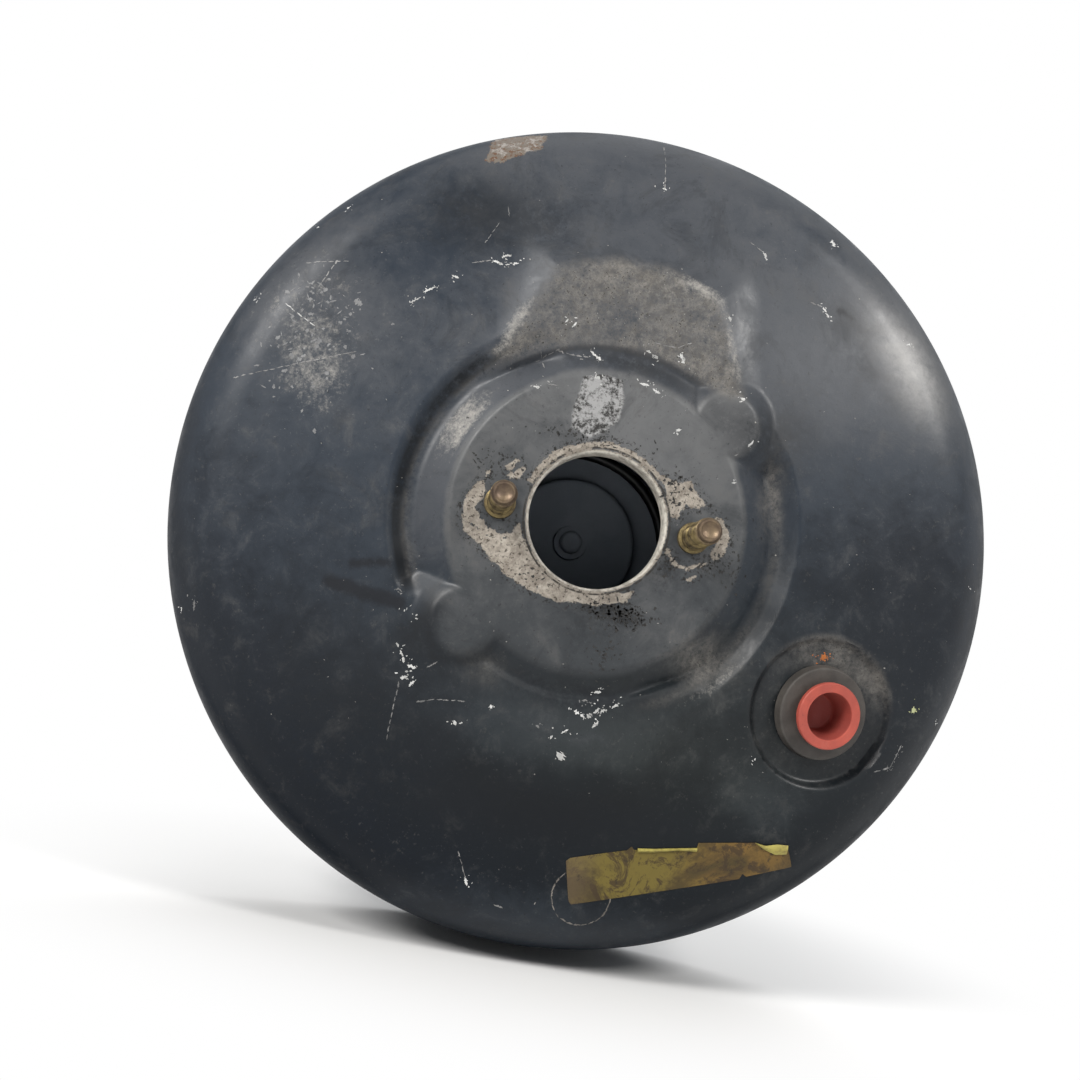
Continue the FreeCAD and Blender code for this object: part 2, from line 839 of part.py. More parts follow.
def rear_profile(skin):
    """Half profile of the solid bounded by the rear shell, set forward by the skin."""
    wall = Lines.rear_wall_radius - skin
    ledge = S.shell_radius - S.ledge_inset
    neck = Lines.neck_radius - skin
    neck_end = Lines.neck_end - skin
    return [
        (wall, Lines.bead_seat),
        (wall, -(S.rear_wall_ahead + skin), S.rear_bend - skin / 2),
        (ledge, -(S.ledge_ahead + skin), S.rear_bend),
        (ledge - S.ledge_width, -(S.ledge_ahead + skin), S.rear_bend),
        (S.mount_face_radius, -skin, S.rear_bend),
        (neck, -skin, S.neck_bend - skin / 2),
        (neck, neck_end),
        (0, neck_end),
        (0, Lines.bead_seat),
    ]


def rear_shell():
    """The rear pressing: clamped flange, stepped dish, mounting face and neck."""
    outside = lathe("rear_outside", rear_profile(as_size(0)))
    inside = lathe("rear_inside", rear_profile(S.sheet))
    low = Lines.bead_seat
    flange_radius = Lines.rim_radius - S.sheet - S.free_gap
    flange = rod_tool("rear_flange", flange_radius, low, low + S.sheet)
    solid = fuse("rear_solid", [outside, flange])
    mouth = Lines.neck_radius - S.sheet - S.neck_lip
    ends = (Lines.neck_end - S.sheet - S.cutter_run, Lines.neck_end + S.cutter_run)
    tools = [inside, rod_tool("neck_mouth", mouth, *ends)]
    tools += bulkhead_holes("rear_shell_hole", -S.sheet)
    node("rear_shell", cut("rear_shell", solid, tools))


def bulkhead_places():
    """Centres of the four bulkhead studs."""
    return [(i * S.bulkhead_pitch_x / 2, k * S.bulkhead_pitch_z / 2) for i in (-1, 1) for k in (-1, 1)]


def bulkhead_holes(name, low):
    """Clearance holes for the bulkhead studs."""
    tools = []
    for k, (x, z) in enumerate(bulkhead_places()):
        high = low + S.rear_plate + S.sheet
        tools.append(rod_tool(f"{name}_{k}", Lines.stud_hole, low - S.cutter_run, high, x, z))
    return tools


def rear_plate():
    """The rounded plate inside the rear shell that carries the bulkhead studs."""
    low = Lines.rear_plate
    wide = S.bulkhead_pitch_x / 2 + S.rear_plate_margin
    tall = S.bulkhead_pitch_z / 2 + S.rear_plate_margin
    corner = S.rear_plate_corner
    points = [(-wide, -tall, corner), (wide, -tall, corner), (wide, tall, corner), (-wide, tall, corner)]
    plate = slab("rear_plate_blank", points, low, S.rear_plate)
    ends = (low - S.cutter_run, low + S.rear_plate + S.cutter_run)
    hole = rod_tool("rear_plate_bore", Lines.neck_radius + S.neck_bend, *ends)
    node("rear_plate", cut("rear_plate", plate, [hole] + bulkhead_holes("rear_plate_hole", low)))


def bulkhead_studs():
    """The four studs that hold the booster to the bulkhead."""
    pieces = []
    for k, (x, z) in enumerate(bulkhead_places()):
        tip = as_size(S.bulkhead_stud_length)
        head = S.stud_radius + S.bulkhead_head_step
        item = stud(f"bulkhead_stud_{k}", Lines.rear_plate, as_size(0), tip, head)
        pieces.append(place(item, x, 0.0, z))
    node("bulkhead_studs", group("bulkhead_studs", pieces))


def neck_parts():
    """The bush that guides the valve body, its lip seal and the clip that holds both."""
    inner = Lines.tube_radius + S.running_gap
    outer = inner + S.bush_wall
    low = as_size(S.bush_set_back)
    high = low + S.bush_length
    node("neck_bush", lathe("neck_bush", [(inner, low), (outer, low), (outer, high), (inner, high)]))
    end = Lines.neck_end - S.sheet
    seal = [
        (inner, high + S.seat_gap),
        (outer, high + S.seat_gap),
        (outer, end - S.seat_gap),
        (inner + S.seal_lip, end - S.seat_gap),
        (inner, end - S.seal_lip * 2 / 3),
    ]
    node("neck_seal", lathe("neck_seal", seal))
    clip_inner = inner + S.clip_land
    clip = [
        (clip_inner, Lines.clip),
        (outer, Lines.clip),
        (outer, low - S.seat_gap),
        (clip_inner, low - S.seat_gap),
    ]
    node("bush_clip", lathe("bush_clip", clip))


def valve_body():
    """The moulded body that carries the diaphragm and houses the control valve."""
    lip = Lines.groove + S.groove
    lip_radius = Lines.groove_radius + S.groove_lip
    crest = Lines.chamber + S.seat_height
    half = S.seat_width / 2
    profile = [
        (S.disc_bore_radius, Lines.boss),
        (Lines.boss_radius, Lines.boss),
        (Lines.boss_radius, Lines.flange),
        (S.flange_radius, Lines.flange),
        (S.flange_radius, Lines.groove),
        (Lines.groove_radius, Lines.groove),
        (Lines.groove_radius, lip),
        (lip_radius, lip),
        (lip_radius, lip + S.groove_lip / 2),
        (Lines.tube_radius, lip + S.groove_lip * 2, S.groove_lip),
        (Lines.tube_radius, Lines.tail),
        (Lines.filter_chamber_radius, Lines.tail),
        (Lines.filter_chamber_radius, Lines.filter_chamber),
        (Lines.bead_chamber_radius, Lines.filter_chamber),
        (Lines.bead_chamber_radius, Lines.bead_chamber),
        (Lines.chamber_radius, Lines.bead_chamber),
        (Lines.chamber_radius, Lines.chamber),
        (Lines.seat_radius + S.seat_width, Lines.chamber),
        (Lines.seat_radius + half, crest),
        (Lines.seat_radius - half, crest),
        (Lines.seat_radius - S.seat_width, Lines.chamber),
        (S.plunger_bore_radius, Lines.chamber),
        (S.plunger_bore_radius, Lines.plunger_bore),
        (S.nose_bore_radius, Lines.plunger_bore),
        (S.nose_bore_radius, Lines.disc_floor),
        (S.disc_bore_radius, Lines.disc_floor),
    ]
    body = lathe("valve_body_turning", profile)
    slot_end = Lines.key + S.key_thickness + S.seat_gap
    slot = block("key_slot", (Lines.tube_radius + S.cutter_run) * 2, Lines.key - S.seat_gap, slot_end,
                 S.key_width + S.seat_gap * 2)
    tools = [slot]
    ends = (Lines.boss - S.cutter_run, Lines.chamber + S.cutter_run)
    for side in (-1, 1):
        z = side * (S.disc_bore_radius + Lines.boss_radius) / 2
        tools.append(rod_tool(f"passage_{side + 1}", S.passage_radius, *ends, 0.0, z))
    node("valve_body", cut("valve_body", body, tools))


def fold_radius():
    """Outer radius of the diaphragm's fold, just inside the rear wall."""
    return Lines.rear_wall_radius - S.sheet - S.fold_room


def plate_radius():
    """Radius of the diaphragm plate, with room for the fold around it."""
    return fold_radius() - S.rubber - S.fold_width


def diaphragm_plate():
    """The pressed disc that spreads the diaphragm's load, its edge turned forward."""
    low = Lines.groove
    high = low + S.plate_sheet
    inner = Lines.groove_radius + S.seat_gap
    outer = plate_radius()
    edge = low - S.plate_rim
    points = [
        (inner, low),
        (outer - S.plate_sheet, low, S.plate_bend),
        (outer - S.plate_sheet, edge),
        (outer, edge),
        (outer, high, S.plate_bend + S.plate_sheet),
        (inner, high),
    ]
    node("diaphragm_plate", lathe("diaphragm_plate", points))


def diaphragm():
    """The rolling diaphragm: clamped outer bead, fold along the wall, web and inner bead."""
    front = Lines.groove + S.plate_sheet + S.seat_gap
    back = front + S.rubber
    bead_back = Lines.bead_seat - S.seat_gap
    bead_front = Lines.rim + S.sheet + S.rim_step + S.free_gap
    bead_outer = Lines.rim_radius - S.sheet - S.free_gap
    fold_outer = fold_radius()
    fold_inner = fold_outer - S.rubber
    fold = front - S.fold_rise
    plate = plate_radius()
    inner = Lines.groove_radius + S.seat_gap
    hub = inner + S.inner_bead_width
    hub_back = Lines.groove + S.groove - S.seat_gap
    points = [
        (inner, front),
        (plate, front),
        (fold_inner, fold),
        (fold_inner, bead_front),
        (bead_outer, bead_front),
        (bead_outer, bead_back),
        (bead_outer - S.bead_width, bead_back),
        (bead_outer - S.bead_width, bead_front + S.rubber),
        (fold_outer, bead_front + S.rubber),
        (fold_outer, fold + S.fold_ease),
        (plate + S.fold_ease, back),
        (hub, back),
        (hub, hub_back),
        (inner, hub_back),
    ]
    node("diaphragm", lathe("diaphragm", points))


def output_parts():
    """The reaction disc, the output rod and the cage that keeps the rod in the boss."""
    bottom = Lines.disc_floor - S.seat_gap
    disc_radius = S.disc_bore_radius - S.seat_gap * 2
    disc_front = bottom - S.disc_thickness
    disc = [(0, disc_front), (disc_radius, disc_front), (disc_radius, bottom), (0, bottom)]
    node("reaction_disc", lathe("reaction_disc", disc))
    head_back = disc_front - S.seat_gap
    head_front = head_back - S.rod_head
    tip = head_front - S.output_rod_length
    rod = [
        (0, tip),
        (S.output_tip_radius, tip, S.output_tip_corner),
        (S.output_tip_radius, tip + S.output_tip),
        (S.output_rod_radius, tip + S.output_tip),
        (S.output_rod_radius, head_front),
        (disc_radius, head_front),
        (disc_radius, head_back),
        (0, head_back),
    ]
    node("output_pushrod", lathe("output_pushrod", rod))
    boss = Lines.boss - S.seat_gap
    sheet = S.cage_sheet
    skirt = Lines.boss_radius + S.seat_gap
    hole = S.output_rod_radius + S.free_gap
    flange = Lines.flange - S.seat_gap
    cage = [
        (hole, boss - sheet),
        (skirt + sheet, boss - sheet, S.cage_bend),
        (skirt + sheet, flange - sheet),
        (S.cage_flange_radius, flange - sheet),
        (S.cage_flange_radius, flange),
        (skirt, flange),
        (skirt, boss),
        (hole, boss),
    ]
    node("pushrod_cage", lathe("pushrod_cage", cage))


def return_spring():
    """The conical spring between the hub's backing ring and the cage's flange."""
    start = depth(S.sheet + S.front_plate) + S.seat_gap
    end = Lines.flange - S.seat_gap * 2 - S.cage_sheet
    front_radius = Lines.front_plate_radius - S.spring_inset
    rear_radius = S.cage_flange_radius - S.spring_inset
    node("return_spring", coil("return_spring", S.spring_wire, front_radius, rear_radius, start, end,
                               S.spring_turns))


def valve_plunger():
    """The plunger that opens and shuts the air port, with the socket for the pedal rod."""
    nose = Lines.disc_floor + S.valve_travel + S.seat_gap * 2
    land = Lines.plunger_bore + S.valve_travel + S.seat_gap * 2
    body = S.plunger_bore_radius - S.running_gap
    groove_front = Lines.key - S.seat_gap
    groove_back = Lines.key + S.key_thickness + S.valve_travel + S.seat_gap * 2
    rim_back = Lines.air_port
    rim_front = rim_back - S.rim_thickness
    end = rim_back + S.socket_length
    profile = [
        (0, nose),
        (S.nose_bore_radius - S.running_gap, nose),
        (S.nose_bore_radius - S.running_gap, land),
        (body, land),
        (body, groove_front),
        (S.core_radius, groove_front),
        (S.core_radius, groove_back),
        (body, groove_back),
        (body, rim_front),
        (Lines.valve_rim_radius, rim_front),
        (Lines.valve_rim_radius, rim_back),
        (Lines.socket_radius, rim_back),
        (Lines.socket_radius, end),
        (0, end),
    ]
    blank = lathe("plunger_turning", profile)
    socket = ball("plunger_socket", S.ball_radius + S.running_gap / 2, Lines.ball)
    neck_radius = S.rod_neck_radius + S.socket_neck_gap
    neck = rod_tool("plunger_neck", neck_radius, Lines.ball, end + S.cutter_run)
    node("valve_plunger", cut("valve_plunger", blank, [socket, neck]))


def stop_key():
    """The forked key that limits the plunger's travel and stops the piston at the neck."""
    low = Lines.key
    high = low + S.key_thickness
    reach = Lines.tube_radius + S.key_overhang
    blank = block("key_blank", reach * 2, low, high, S.key_width)
    fork = S.core_radius + S.free_gap
    ends = (low - S.cutter_run, high + S.cutter_run)
    open_end = block("key_fork", reach + S.cutter_run, *ends, fork * 2, x=as_size(0))
    round_end = rod_tool("key_round", fork, *ends)
    node("stop_key", cut("stop_key", blank, [open_end, round_end]))


def poppet_parts():
    """The rubber poppet, its ring, its spring and the holder that pins its bead."""
    face = Lines.air_port + S.seat_gap
    behind = face + S.poppet_face
    bead = Lines.bead_chamber + S.seat_gap
    bead_end = bead + S.poppet_bead
    hole = Lines.socket_radius + S.poppet_air_gap
    outer = Lines.chamber_radius - S.poppet_room
    inner = outer - S.poppet_skin
    bead_radius = Lines.bead_chamber_radius - S.seat_gap
    poppet = [
        (hole, face),
        (outer, face),
        (outer, bead),
        (bead_radius, bead),
        (bead_radius, bead_end),
        (inner, bead_end),
        (inner, behind),
        (hole, behind),
    ]
    node("poppet_valve", lathe("poppet_valve", poppet))
    ring_front = behind + S.seat_gap
    ring_back = ring_front + S.poppet_ring_thickness
    ring = [
        (hole + S.poppet_ring_inset, ring_front),
        (inner - S.poppet_ring_room, ring_front),
        (inner - S.poppet_ring_room, ring_back),
        (hole + S.poppet_ring_inset, ring_back),
    ]
    node("poppet_ring", lathe("poppet_ring", ring))
    holder_front = bead_end + S.seat_gap
    tube = inner - S.seat_gap
    tube_inner = tube - S.holder_sheet
    holder = [
        (S.holder_hole_radius, holder_front),
        (tube_inner, holder_front),
        (tube_inner, holder_front - S.holder_tube),
        (tube, holder_front - S.holder_tube),
        (tube, holder_front),
        (bead_radius, holder_front),
        (bead_radius, Lines.holder_back),
        (S.holder_hole_radius, Lines.holder_back),
    ]
    node("poppet_holder", lathe("poppet_holder", holder))
    middle = (S.holder_hole_radius + tube_inner) / 2
    node("poppet_spring", coil("poppet_spring", S.poppet_wire, middle, middle, ring_back + S.seat_gap,
                               holder_front - S.seat_gap, S.poppet_spring_turns))
    node("rod_spring", coil("rod_spring", S.rod_spring_wire, Lines.bead_chamber_radius - S.rod_spring_front_inset,
                            S.washer_radius - S.rod_spring_rear_inset, Lines.holder_back + S.seat_gap,
                            Lines.washer - S.seat_gap, S.rod_spring_turns))


def pedal_rod():
    """The ball-ended rod from the pedal and the washer that its spring pushes."""
    centre = Lines.ball
    neck_end = centre + S.rod_neck_length
    collar = Lines.washer + S.washer_thickness + S.seat_gap
    collar_radius = S.rod_radius + S.rod_collar_step
    end = Lines.slot - S.rod_end_gap
    profile = [
        (0, centre),
        (S.rod_neck_radius, centre),
        (S.rod_neck_radius, neck_end),
        (S.rod_radius, neck_end + S.rod_neck_radius),
        (S.rod_radius, collar),
        (collar_radius, collar),
        (collar_radius, collar + S.rod_collar),
        (S.rod_radius, collar + S.rod_collar),
        (S.rod_radius, end - S.rod_chamfer),
        (S.rod_radius - S.rod_chamfer, end),
        (0, end),
    ]
    shaft = lathe("rod_turning", profile)
    node("pedal_rod", fuse("pedal_rod", [shaft, ball("rod_ball", S.ball_radius, centre)]))
    low = Lines.washer
    high = low + S.washer_thickness
    hole = S.rod_radius + S.seat_gap
    washer = [(hole, low), (S.washer_radius, low), (S.washer_radius, high), (hole, high)]
    node("rod_washer", lathe("rod_washer", washer))


def lock_nut():
    """The hexagon nut that locks the clevis."""
    low = Lines.nut
    corner = S.nut_flats / (2 * cos(30))
    points = [(corner * cos(60 * k), corner * sin(60 * k)) for k in range(6)]
    blank = slab("nut_blank", points, low, S.nut_height)
    ends = (low - S.cutter_run, low + S.nut_height + S.cutter_run)
    bore = rod_tool("nut_bore", S.rod_radius + S.seat_gap / 2, *ends)
    node("lock_nut", cut("lock_nut", blank, [bore]))


def clevis():
    """The fork that takes the brake pedal's pin."""
    width = S.clevis_slot + S.clevis_cheek * 2
    boss = rod_tool("clevis_boss_blank", S.clevis_boss_radius, Lines.clevis, Lines.shoulder + S.cutter_run)
    arms = block("clevis_arms", width, Lines.shoulder, Lines.pin, S.clevis_height)
    ends = cross_tool("clevis_ends", S.clevis_height / 2, width, Lines.pin)
    solid = fuse("clevis_blank", [boss, arms, ends])
    slot = block("clevis_gap", S.clevis_slot, Lines.slot, Lines.pin + S.clevis_height,
                 S.clevis_height + S.cutter_run * 2)
    hole = cross_tool("clevis_hole", S.clevis_pin_radius, width + S.cutter_run * 2, Lines.pin)
    bore = rod_tool("clevis_bore", S.rod_radius + S.seat_gap / 2, Lines.clevis - S.cutter_run,
                    Lines.slot + S.cutter_run)
    node("clevis", cut("clevis", solid, [slot, hole, bore]))


def filters():
    """The silencer and filter rings in the tail, and the cap that keeps them in."""
    outer = Lines.filter_chamber_radius - S.seat_gap * 2
    inner = S.filter_hole_radius
    high = Lines.tail - S.cap_recess
    rings = (("filter_cap", S.filter_cap), ("air_filter", S.filter_length), ("air_silencer", S.silencer_length))
    for name, length in rings:
        low = high - length
        node(name, lathe(name, [(inner, low), (outer, low), (outer, high), (inner, high)]))
        high = low - S.seat_gap


def dust_boot():
    """The bellows from the neck to the valve body's tail."""
    start = Lines.neck_end - S.boot_bead_inset
    low = start - S.boot_bead_length
    end = Lines.tail - S.boot_collar_inset
    collar = end - S.boot_collar_length
    folds = int(SIZES["boot_folds"])
    pitch = (collar - start) / S.boot_folds
    grip = Lines.tube_radius + S.seat_gap
    neck = Lines.neck_radius + S.seat_gap
    valley = Lines.neck_radius + S.boot_valley
    peak = valley + S.boot_wave
    outer = [(neck + S.boot_bead, low), (neck + S.boot_bead, start)]
    inner = [(neck, low), (neck, start)]
    for k in range(folds):
        outer.append((peak, start + pitch * (k + 0.5)))
        inner.append((peak - S.boot_skin, start + pitch * (k + 0.5)))
        if k < folds - 1:
            outer.append((valley, start + pitch * (k + 1.0)))
            inner.append((valley - S.boot_skin, start + pitch * (k + 1.0)))
    outer += [(grip + S.boot_skin, collar), (grip + S.boot_skin, end)]
    inner += [(grip, collar), (grip, end)]
    node("dust_boot", lathe("dust_boot", outer + inner[::-1]))


def check(items):
    """Stops if any object failed or any piece is not a sound solid."""
    for item in doc.Objects:
        bad = [state for state in item.State if state in ("Invalid", "Error")]
        if bad:
            raise RuntimeError(f"{item.Label} is {bad}")
    for name, item in items.items():
        shape = item.Shape
        if shape.isNull() or not shape.isValid() or not shape.Solids:
            raise RuntimeError(f"{name} has no sound shape")


def build():
    """Builds every piece and writes one STEP file for each."""
    front_shell()
    front_plate()
    master_cylinder_studs()
    vacuum_port()
    rear_shell()
    rear_plate()
    bulkhead_studs()
    neck_parts()
    valve_body()
    diaphragm_plate()
    diaphragm()
    output_parts()
    return_spring()
    valve_plunger()
    stop_key()
    poppet_parts()
    pedal_rod()
    lock_nut()
    clevis()
    filters()
    dust_boot()
    doc.recompute()
    check(nodes)
    os.makedirs("parts", exist_ok=True)
    for name, item in nodes.items():
        item.Shape.exportStep(os.path.join("parts", name + ".step"))
        print(f"{name}: {len(item.Shape.Solids)} solids, {item.Shape.Volume:.0f} mm3")


build()
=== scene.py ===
"""Looks of the brake booster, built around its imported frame.

The booster's axis is Y: the hub face lies at y = -124 mm and looks towards -Y, the bulkhead face
lies at y = 0. Sizes are millimetres and degrees, turned into metres where a mesh is made.
Places on the front are (x, z) in millimetres from the booster's axis.
"""

import math

import bmesh
import bpy
import numpy as np
from mathutils import Matrix, Vector


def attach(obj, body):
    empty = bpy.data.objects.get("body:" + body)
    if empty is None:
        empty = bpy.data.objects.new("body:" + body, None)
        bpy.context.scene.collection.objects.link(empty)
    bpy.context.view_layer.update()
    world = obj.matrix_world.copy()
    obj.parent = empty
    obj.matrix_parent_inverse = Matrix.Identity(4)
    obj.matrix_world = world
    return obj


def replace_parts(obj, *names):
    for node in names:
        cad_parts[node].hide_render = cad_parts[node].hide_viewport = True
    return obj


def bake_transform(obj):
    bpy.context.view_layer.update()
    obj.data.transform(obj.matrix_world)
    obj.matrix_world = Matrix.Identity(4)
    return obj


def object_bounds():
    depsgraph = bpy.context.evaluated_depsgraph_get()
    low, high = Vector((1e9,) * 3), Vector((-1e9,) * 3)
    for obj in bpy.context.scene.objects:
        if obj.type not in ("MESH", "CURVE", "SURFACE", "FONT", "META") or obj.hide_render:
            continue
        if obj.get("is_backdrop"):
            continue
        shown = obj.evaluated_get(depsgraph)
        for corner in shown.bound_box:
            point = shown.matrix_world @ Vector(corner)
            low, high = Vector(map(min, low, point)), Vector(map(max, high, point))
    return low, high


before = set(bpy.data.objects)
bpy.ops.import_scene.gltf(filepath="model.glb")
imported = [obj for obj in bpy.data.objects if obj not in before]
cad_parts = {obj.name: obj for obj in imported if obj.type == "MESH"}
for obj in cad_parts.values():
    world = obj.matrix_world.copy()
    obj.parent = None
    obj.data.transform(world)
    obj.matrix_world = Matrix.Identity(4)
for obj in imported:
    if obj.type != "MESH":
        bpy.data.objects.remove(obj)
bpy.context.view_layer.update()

MM = 0.001
SHELL = "booster_shell"
PISTON = "power_piston"

# Front pressing, measured as the CAD part is
FACE = -124.0
SHELL_RADIUS = 135.0
SHEET = 2.0
DOME_DEPTH = 4.4
SHOULDER_DEPTH = 17.0
SHOULDER_RADIUS = 24.0
WALL_FLARE = 0.8
RIM = -48.0
RIM_RADIUS = 139.4
RIM_STEP = 1.5
RIM_END = -35.05
HUB_RADIUS = 45.0
BORE_RADIUS = 20.8
BORE_LIP = 7.0
BORE_ROUND = 1.1
HUB_FOOT = (56.0, 8.0)
HUB_FOOT_BY_FAN = (53.5, 4.3)
HUB_FLAT = 33.0
CHANNEL_FLOOR_END = 59.0
CHANNEL_RADIUS = 64.0
CHANNEL_ENDS = (-59.0, 33.0)
CHANNEL_END_RAMPS = (12.0, 7.0)
LOBE_RADIUS = 9.3
LOBE_REACH = 50.8
LOBE_ANGLE = 46.5
LOBE_RISE = 0.1
LOBE_CROWN = (7.2, 10.5)
FAN_DEPTH = 3.0
FAN_INNER = (52.6, 55.6)
FAN_INNER_DROP = 2.2
FAN_OUTLINE = [(-39, 46), (-25, 77), (-8, 82.5), (10, 83), (27, 76), (39, 46)]
FAN_SLOPE = 0.55
FAN_EDGE = 1.2
WAVE = 0.05
WAVE_START = (66, 80)
WAVE_FADE = 94
STUD_X = 30.0
STUD_HOLE = 4.55
STUD_RADIUS = 4.0
STUD_LENGTH = 26.0

# Vacuum port
PORT_CENTRE = (80.07, -112.03, -45.30)
PORT_ANGLE = -29.5
PORT_TILT = 12.0
PORT_HOLE = 12.1
POCKET_RADIUS = 22.0
POCKET_SLOPE = 1.3
POCKET_END = 126.0

# How wide the bends are where faces of the pressing meet
FLOOR_BEND = 0.7
CHANNEL_BEND = 0.8
HUB_BEND = 0.35
FAN_BEND = 4.0
FAN_FOOT_BEND = 2.8
FOOT_BEND = 1.0
LOBE_BEND = 0.8
LOBE_FOOT_BEND = 0.7
POCKET_BEND = 0.5


def unit(values):
    """Values kept between 0 and 1."""
    return np.clip(values, 0.0, 1.0)


def ease(value, low, high):
    """0 below low, 1 above high, smooth between."""
    t = unit((value - low) / (high - low))
    return t * t * (3 - 2 * t)


def smooth_min(a, b, width):
    """The lesser of two values, rounded where they meet."""
    h = unit(0.5 + 0.5 * (b - a) / width)
    return b * (1 - h) + a * h - width * h * (1 - h)


def smooth_max(a, b, width):
    """The greater of two values, rounded where they meet."""
    return -smooth_min(-a, -b, width)


def inside(points, outline):
    """True where a point lies in a closed outline."""
    x, z = points[..., 0], points[..., 1]
    result = np.zeros(x.shape, bool)
    for (ax, az), (bx, bz) in zip(outline, outline[1:] + outline[:1]):
        crossing = (az > z) != (bz > z)
        reach = (bx - ax) * (z - az) / ((bz - az) or 1e-9) + ax
        result ^= crossing & (x < reach)
    return result


def to_segment(points, start, end):
    """Distance of points from a straight stroke."""
    a = np.array(start, float)
    run = np.array(end, float) - a
    t = unit((points - a) @ run / max(run @ run, 1e-9))
    return np.linalg.norm(points - a - t[..., None] * run, axis=-1)


def to_outline(points, outline):
    """Signed distance from a closed outline, negative inside."""
    distance = np.full(points.shape[:-1], 1e9)
    for start, end in zip(outline, outline[1:] + outline[:1]):
        distance = np.minimum(distance, to_segment(points, start, end))
    return np.where(inside(points, outline), -distance, distance)


# Shape of the front pressing

DOME_SLOPE = (SHOULDER_DEPTH - DOME_DEPTH) / (SHELL_RADIUS - CHANNEL_RADIUS)
SHOULDER_TANGENT = SHOULDER_RADIUS * math.tan((math.pi / 2 - math.atan(DOME_SLOPE)) / 2)
SHOULDER_START = SHELL_RADIUS - SHOULDER_TANGENT * math.cos(math.atan(DOME_SLOPE))


def dome(r):
    """Depth of the plain dome behind the hub face."""
    return DOME_DEPTH + np.maximum(r - CHANNEL_RADIUS, 0) * DOME_SLOPE


def turn_from(angle, middle):
    """Difference of two angles, from -180 to 180."""
    return (angle - middle + 180) % 360 - 180


def channel_share(angle):
    """1 in the two ring channels, 0 between them, with ramped ends."""
    share = np.zeros(np.shape(angle))
    for side in (0, 180):
        a = turn_from(angle, side)
        start = ease(a, CHANNEL_ENDS[0] - CHANNEL_END_RAMPS[0], CHANNEL_ENDS[0])
        end = 1 - ease(a, CHANNEL_ENDS[1] - CHANNEL_END_RAMPS[1], CHANNEL_ENDS[1])
        share = np.maximum(share, start * end)
    return share


def port_place(x, z):
    """Depth of the port pocket's floor plane at (x, z), and the distance from the port's axis."""
    out = (math.cos(math.radians(PORT_ANGLE)), math.sin(math.radians(PORT_ANGLE)))
    dx = x - PORT_CENTRE[0]
    dz = z - PORT_CENTRE[2]
    along = dx * out[0] + dz * out[1]
    across = dz * out[0] - dx * out[1]
    floor = PORT_CENTRE[1] - FACE + along * math.tan(math.radians(PORT_TILT))
    return floor, np.hypot(along / math.cos(math.radians(PORT_TILT)), across)


def pocket(x, z):
    """Depth of the port's pocket, far in front of the dome outside it."""
    floor, reach = port_place(x, z)
    return floor - smooth_max((reach - POCKET_RADIUS) * POCKET_SLOPE, 0.0, POCKET_BEND)


def relief(x, z):
    """Depth of the front pressing behind the hub face."""
    r = np.hypot(x, z)
    angle = np.degrees(np.arctan2(z, x))
    share = channel_share(angle)
    plain = dome(r)
    climb = (HUB_FOOT[1] - DOME_DEPTH) / (CHANNEL_RADIUS - CHANNEL_FLOOR_END)
    outer = HUB_FOOT[1] - (r - CHANNEL_FLOOR_END) * climb
    groove = smooth_max(smooth_min(outer, HUB_FOOT[1], FLOOR_BEND), plain, CHANNEL_BEND)
    ground = plain + share * (groove - plain)
    foot_r = HUB_FOOT_BY_FAN[0] + share * (HUB_FOOT[0] - HUB_FOOT_BY_FAN[0])
    foot_d = HUB_FOOT_BY_FAN[1] + share * (HUB_FOOT[1] - HUB_FOOT_BY_FAN[1])
    hub = smooth_max((r - HUB_RADIUS) * foot_d / (foot_r - HUB_RADIUS), 0.0, HUB_BEND)
    points = np.stack([x, z], -1)
    for side in (1, -1):
        fan = to_outline(points * side, FAN_OUTLINE)
        plateau = FAN_DEPTH + smooth_max(fan + FAN_EDGE, 0.0, FAN_BEND) * FAN_SLOPE
        plateau = plateau + FAN_INNER_DROP * (1 - ease(r, *FAN_INNER))
        ground = smooth_min(ground, plateau, FAN_FOOT_BEND)
    depth = smooth_min(hub, ground, FOOT_BEND)
    for side in (0, 180):
        turn = math.radians(LOBE_ANGLE + side)
        away = np.hypot(x - LOBE_REACH * math.cos(turn), z - LOBE_REACH * math.sin(turn))
        slope = HUB_FOOT[1] / (HUB_FOOT[0] - HUB_RADIUS)
        crown = LOBE_RISE * (1 - ease(away, *LOBE_CROWN))
        lobe = smooth_max((away - LOBE_RADIUS) * slope, 0.0, LOBE_BEND) - crown
        depth = smooth_min(depth, lobe, LOBE_FOOT_BEND)
    depth = smooth_max(depth, pocket(x, z), POCKET_BEND)
    wave = np.sin(x / 11 + 1.3) * np.sin(z / 13 + 0.4) + 0.6 * np.sin(x / 5.1 + z / 7.3)
    return depth + WAVE * wave * ease(r, *WAVE_START) * (1 - ease(r, WAVE_FADE, SHOULDER_START - 2))


def plain_depth(r):
    """Depth of the smooth shell outside the relief, over the dome and the shoulder."""
    tilt = math.atan(DOME_SLOPE)
    centre_r = SHOULDER_START - SHOULDER_RADIUS * math.sin(tilt)
    centre_d = DOME_DEPTH + (SHOULDER_START - CHANNEL_RADIUS) * DOME_SLOPE + SHOULDER_RADIUS * math.cos(tilt)
    over = np.clip(r - centre_r, 0, SHOULDER_RADIUS)
    arc = centre_d - np.sqrt(SHOULDER_RADIUS ** 2 - over ** 2)
    return np.where(r < SHOULDER_START, dome(r), arc)


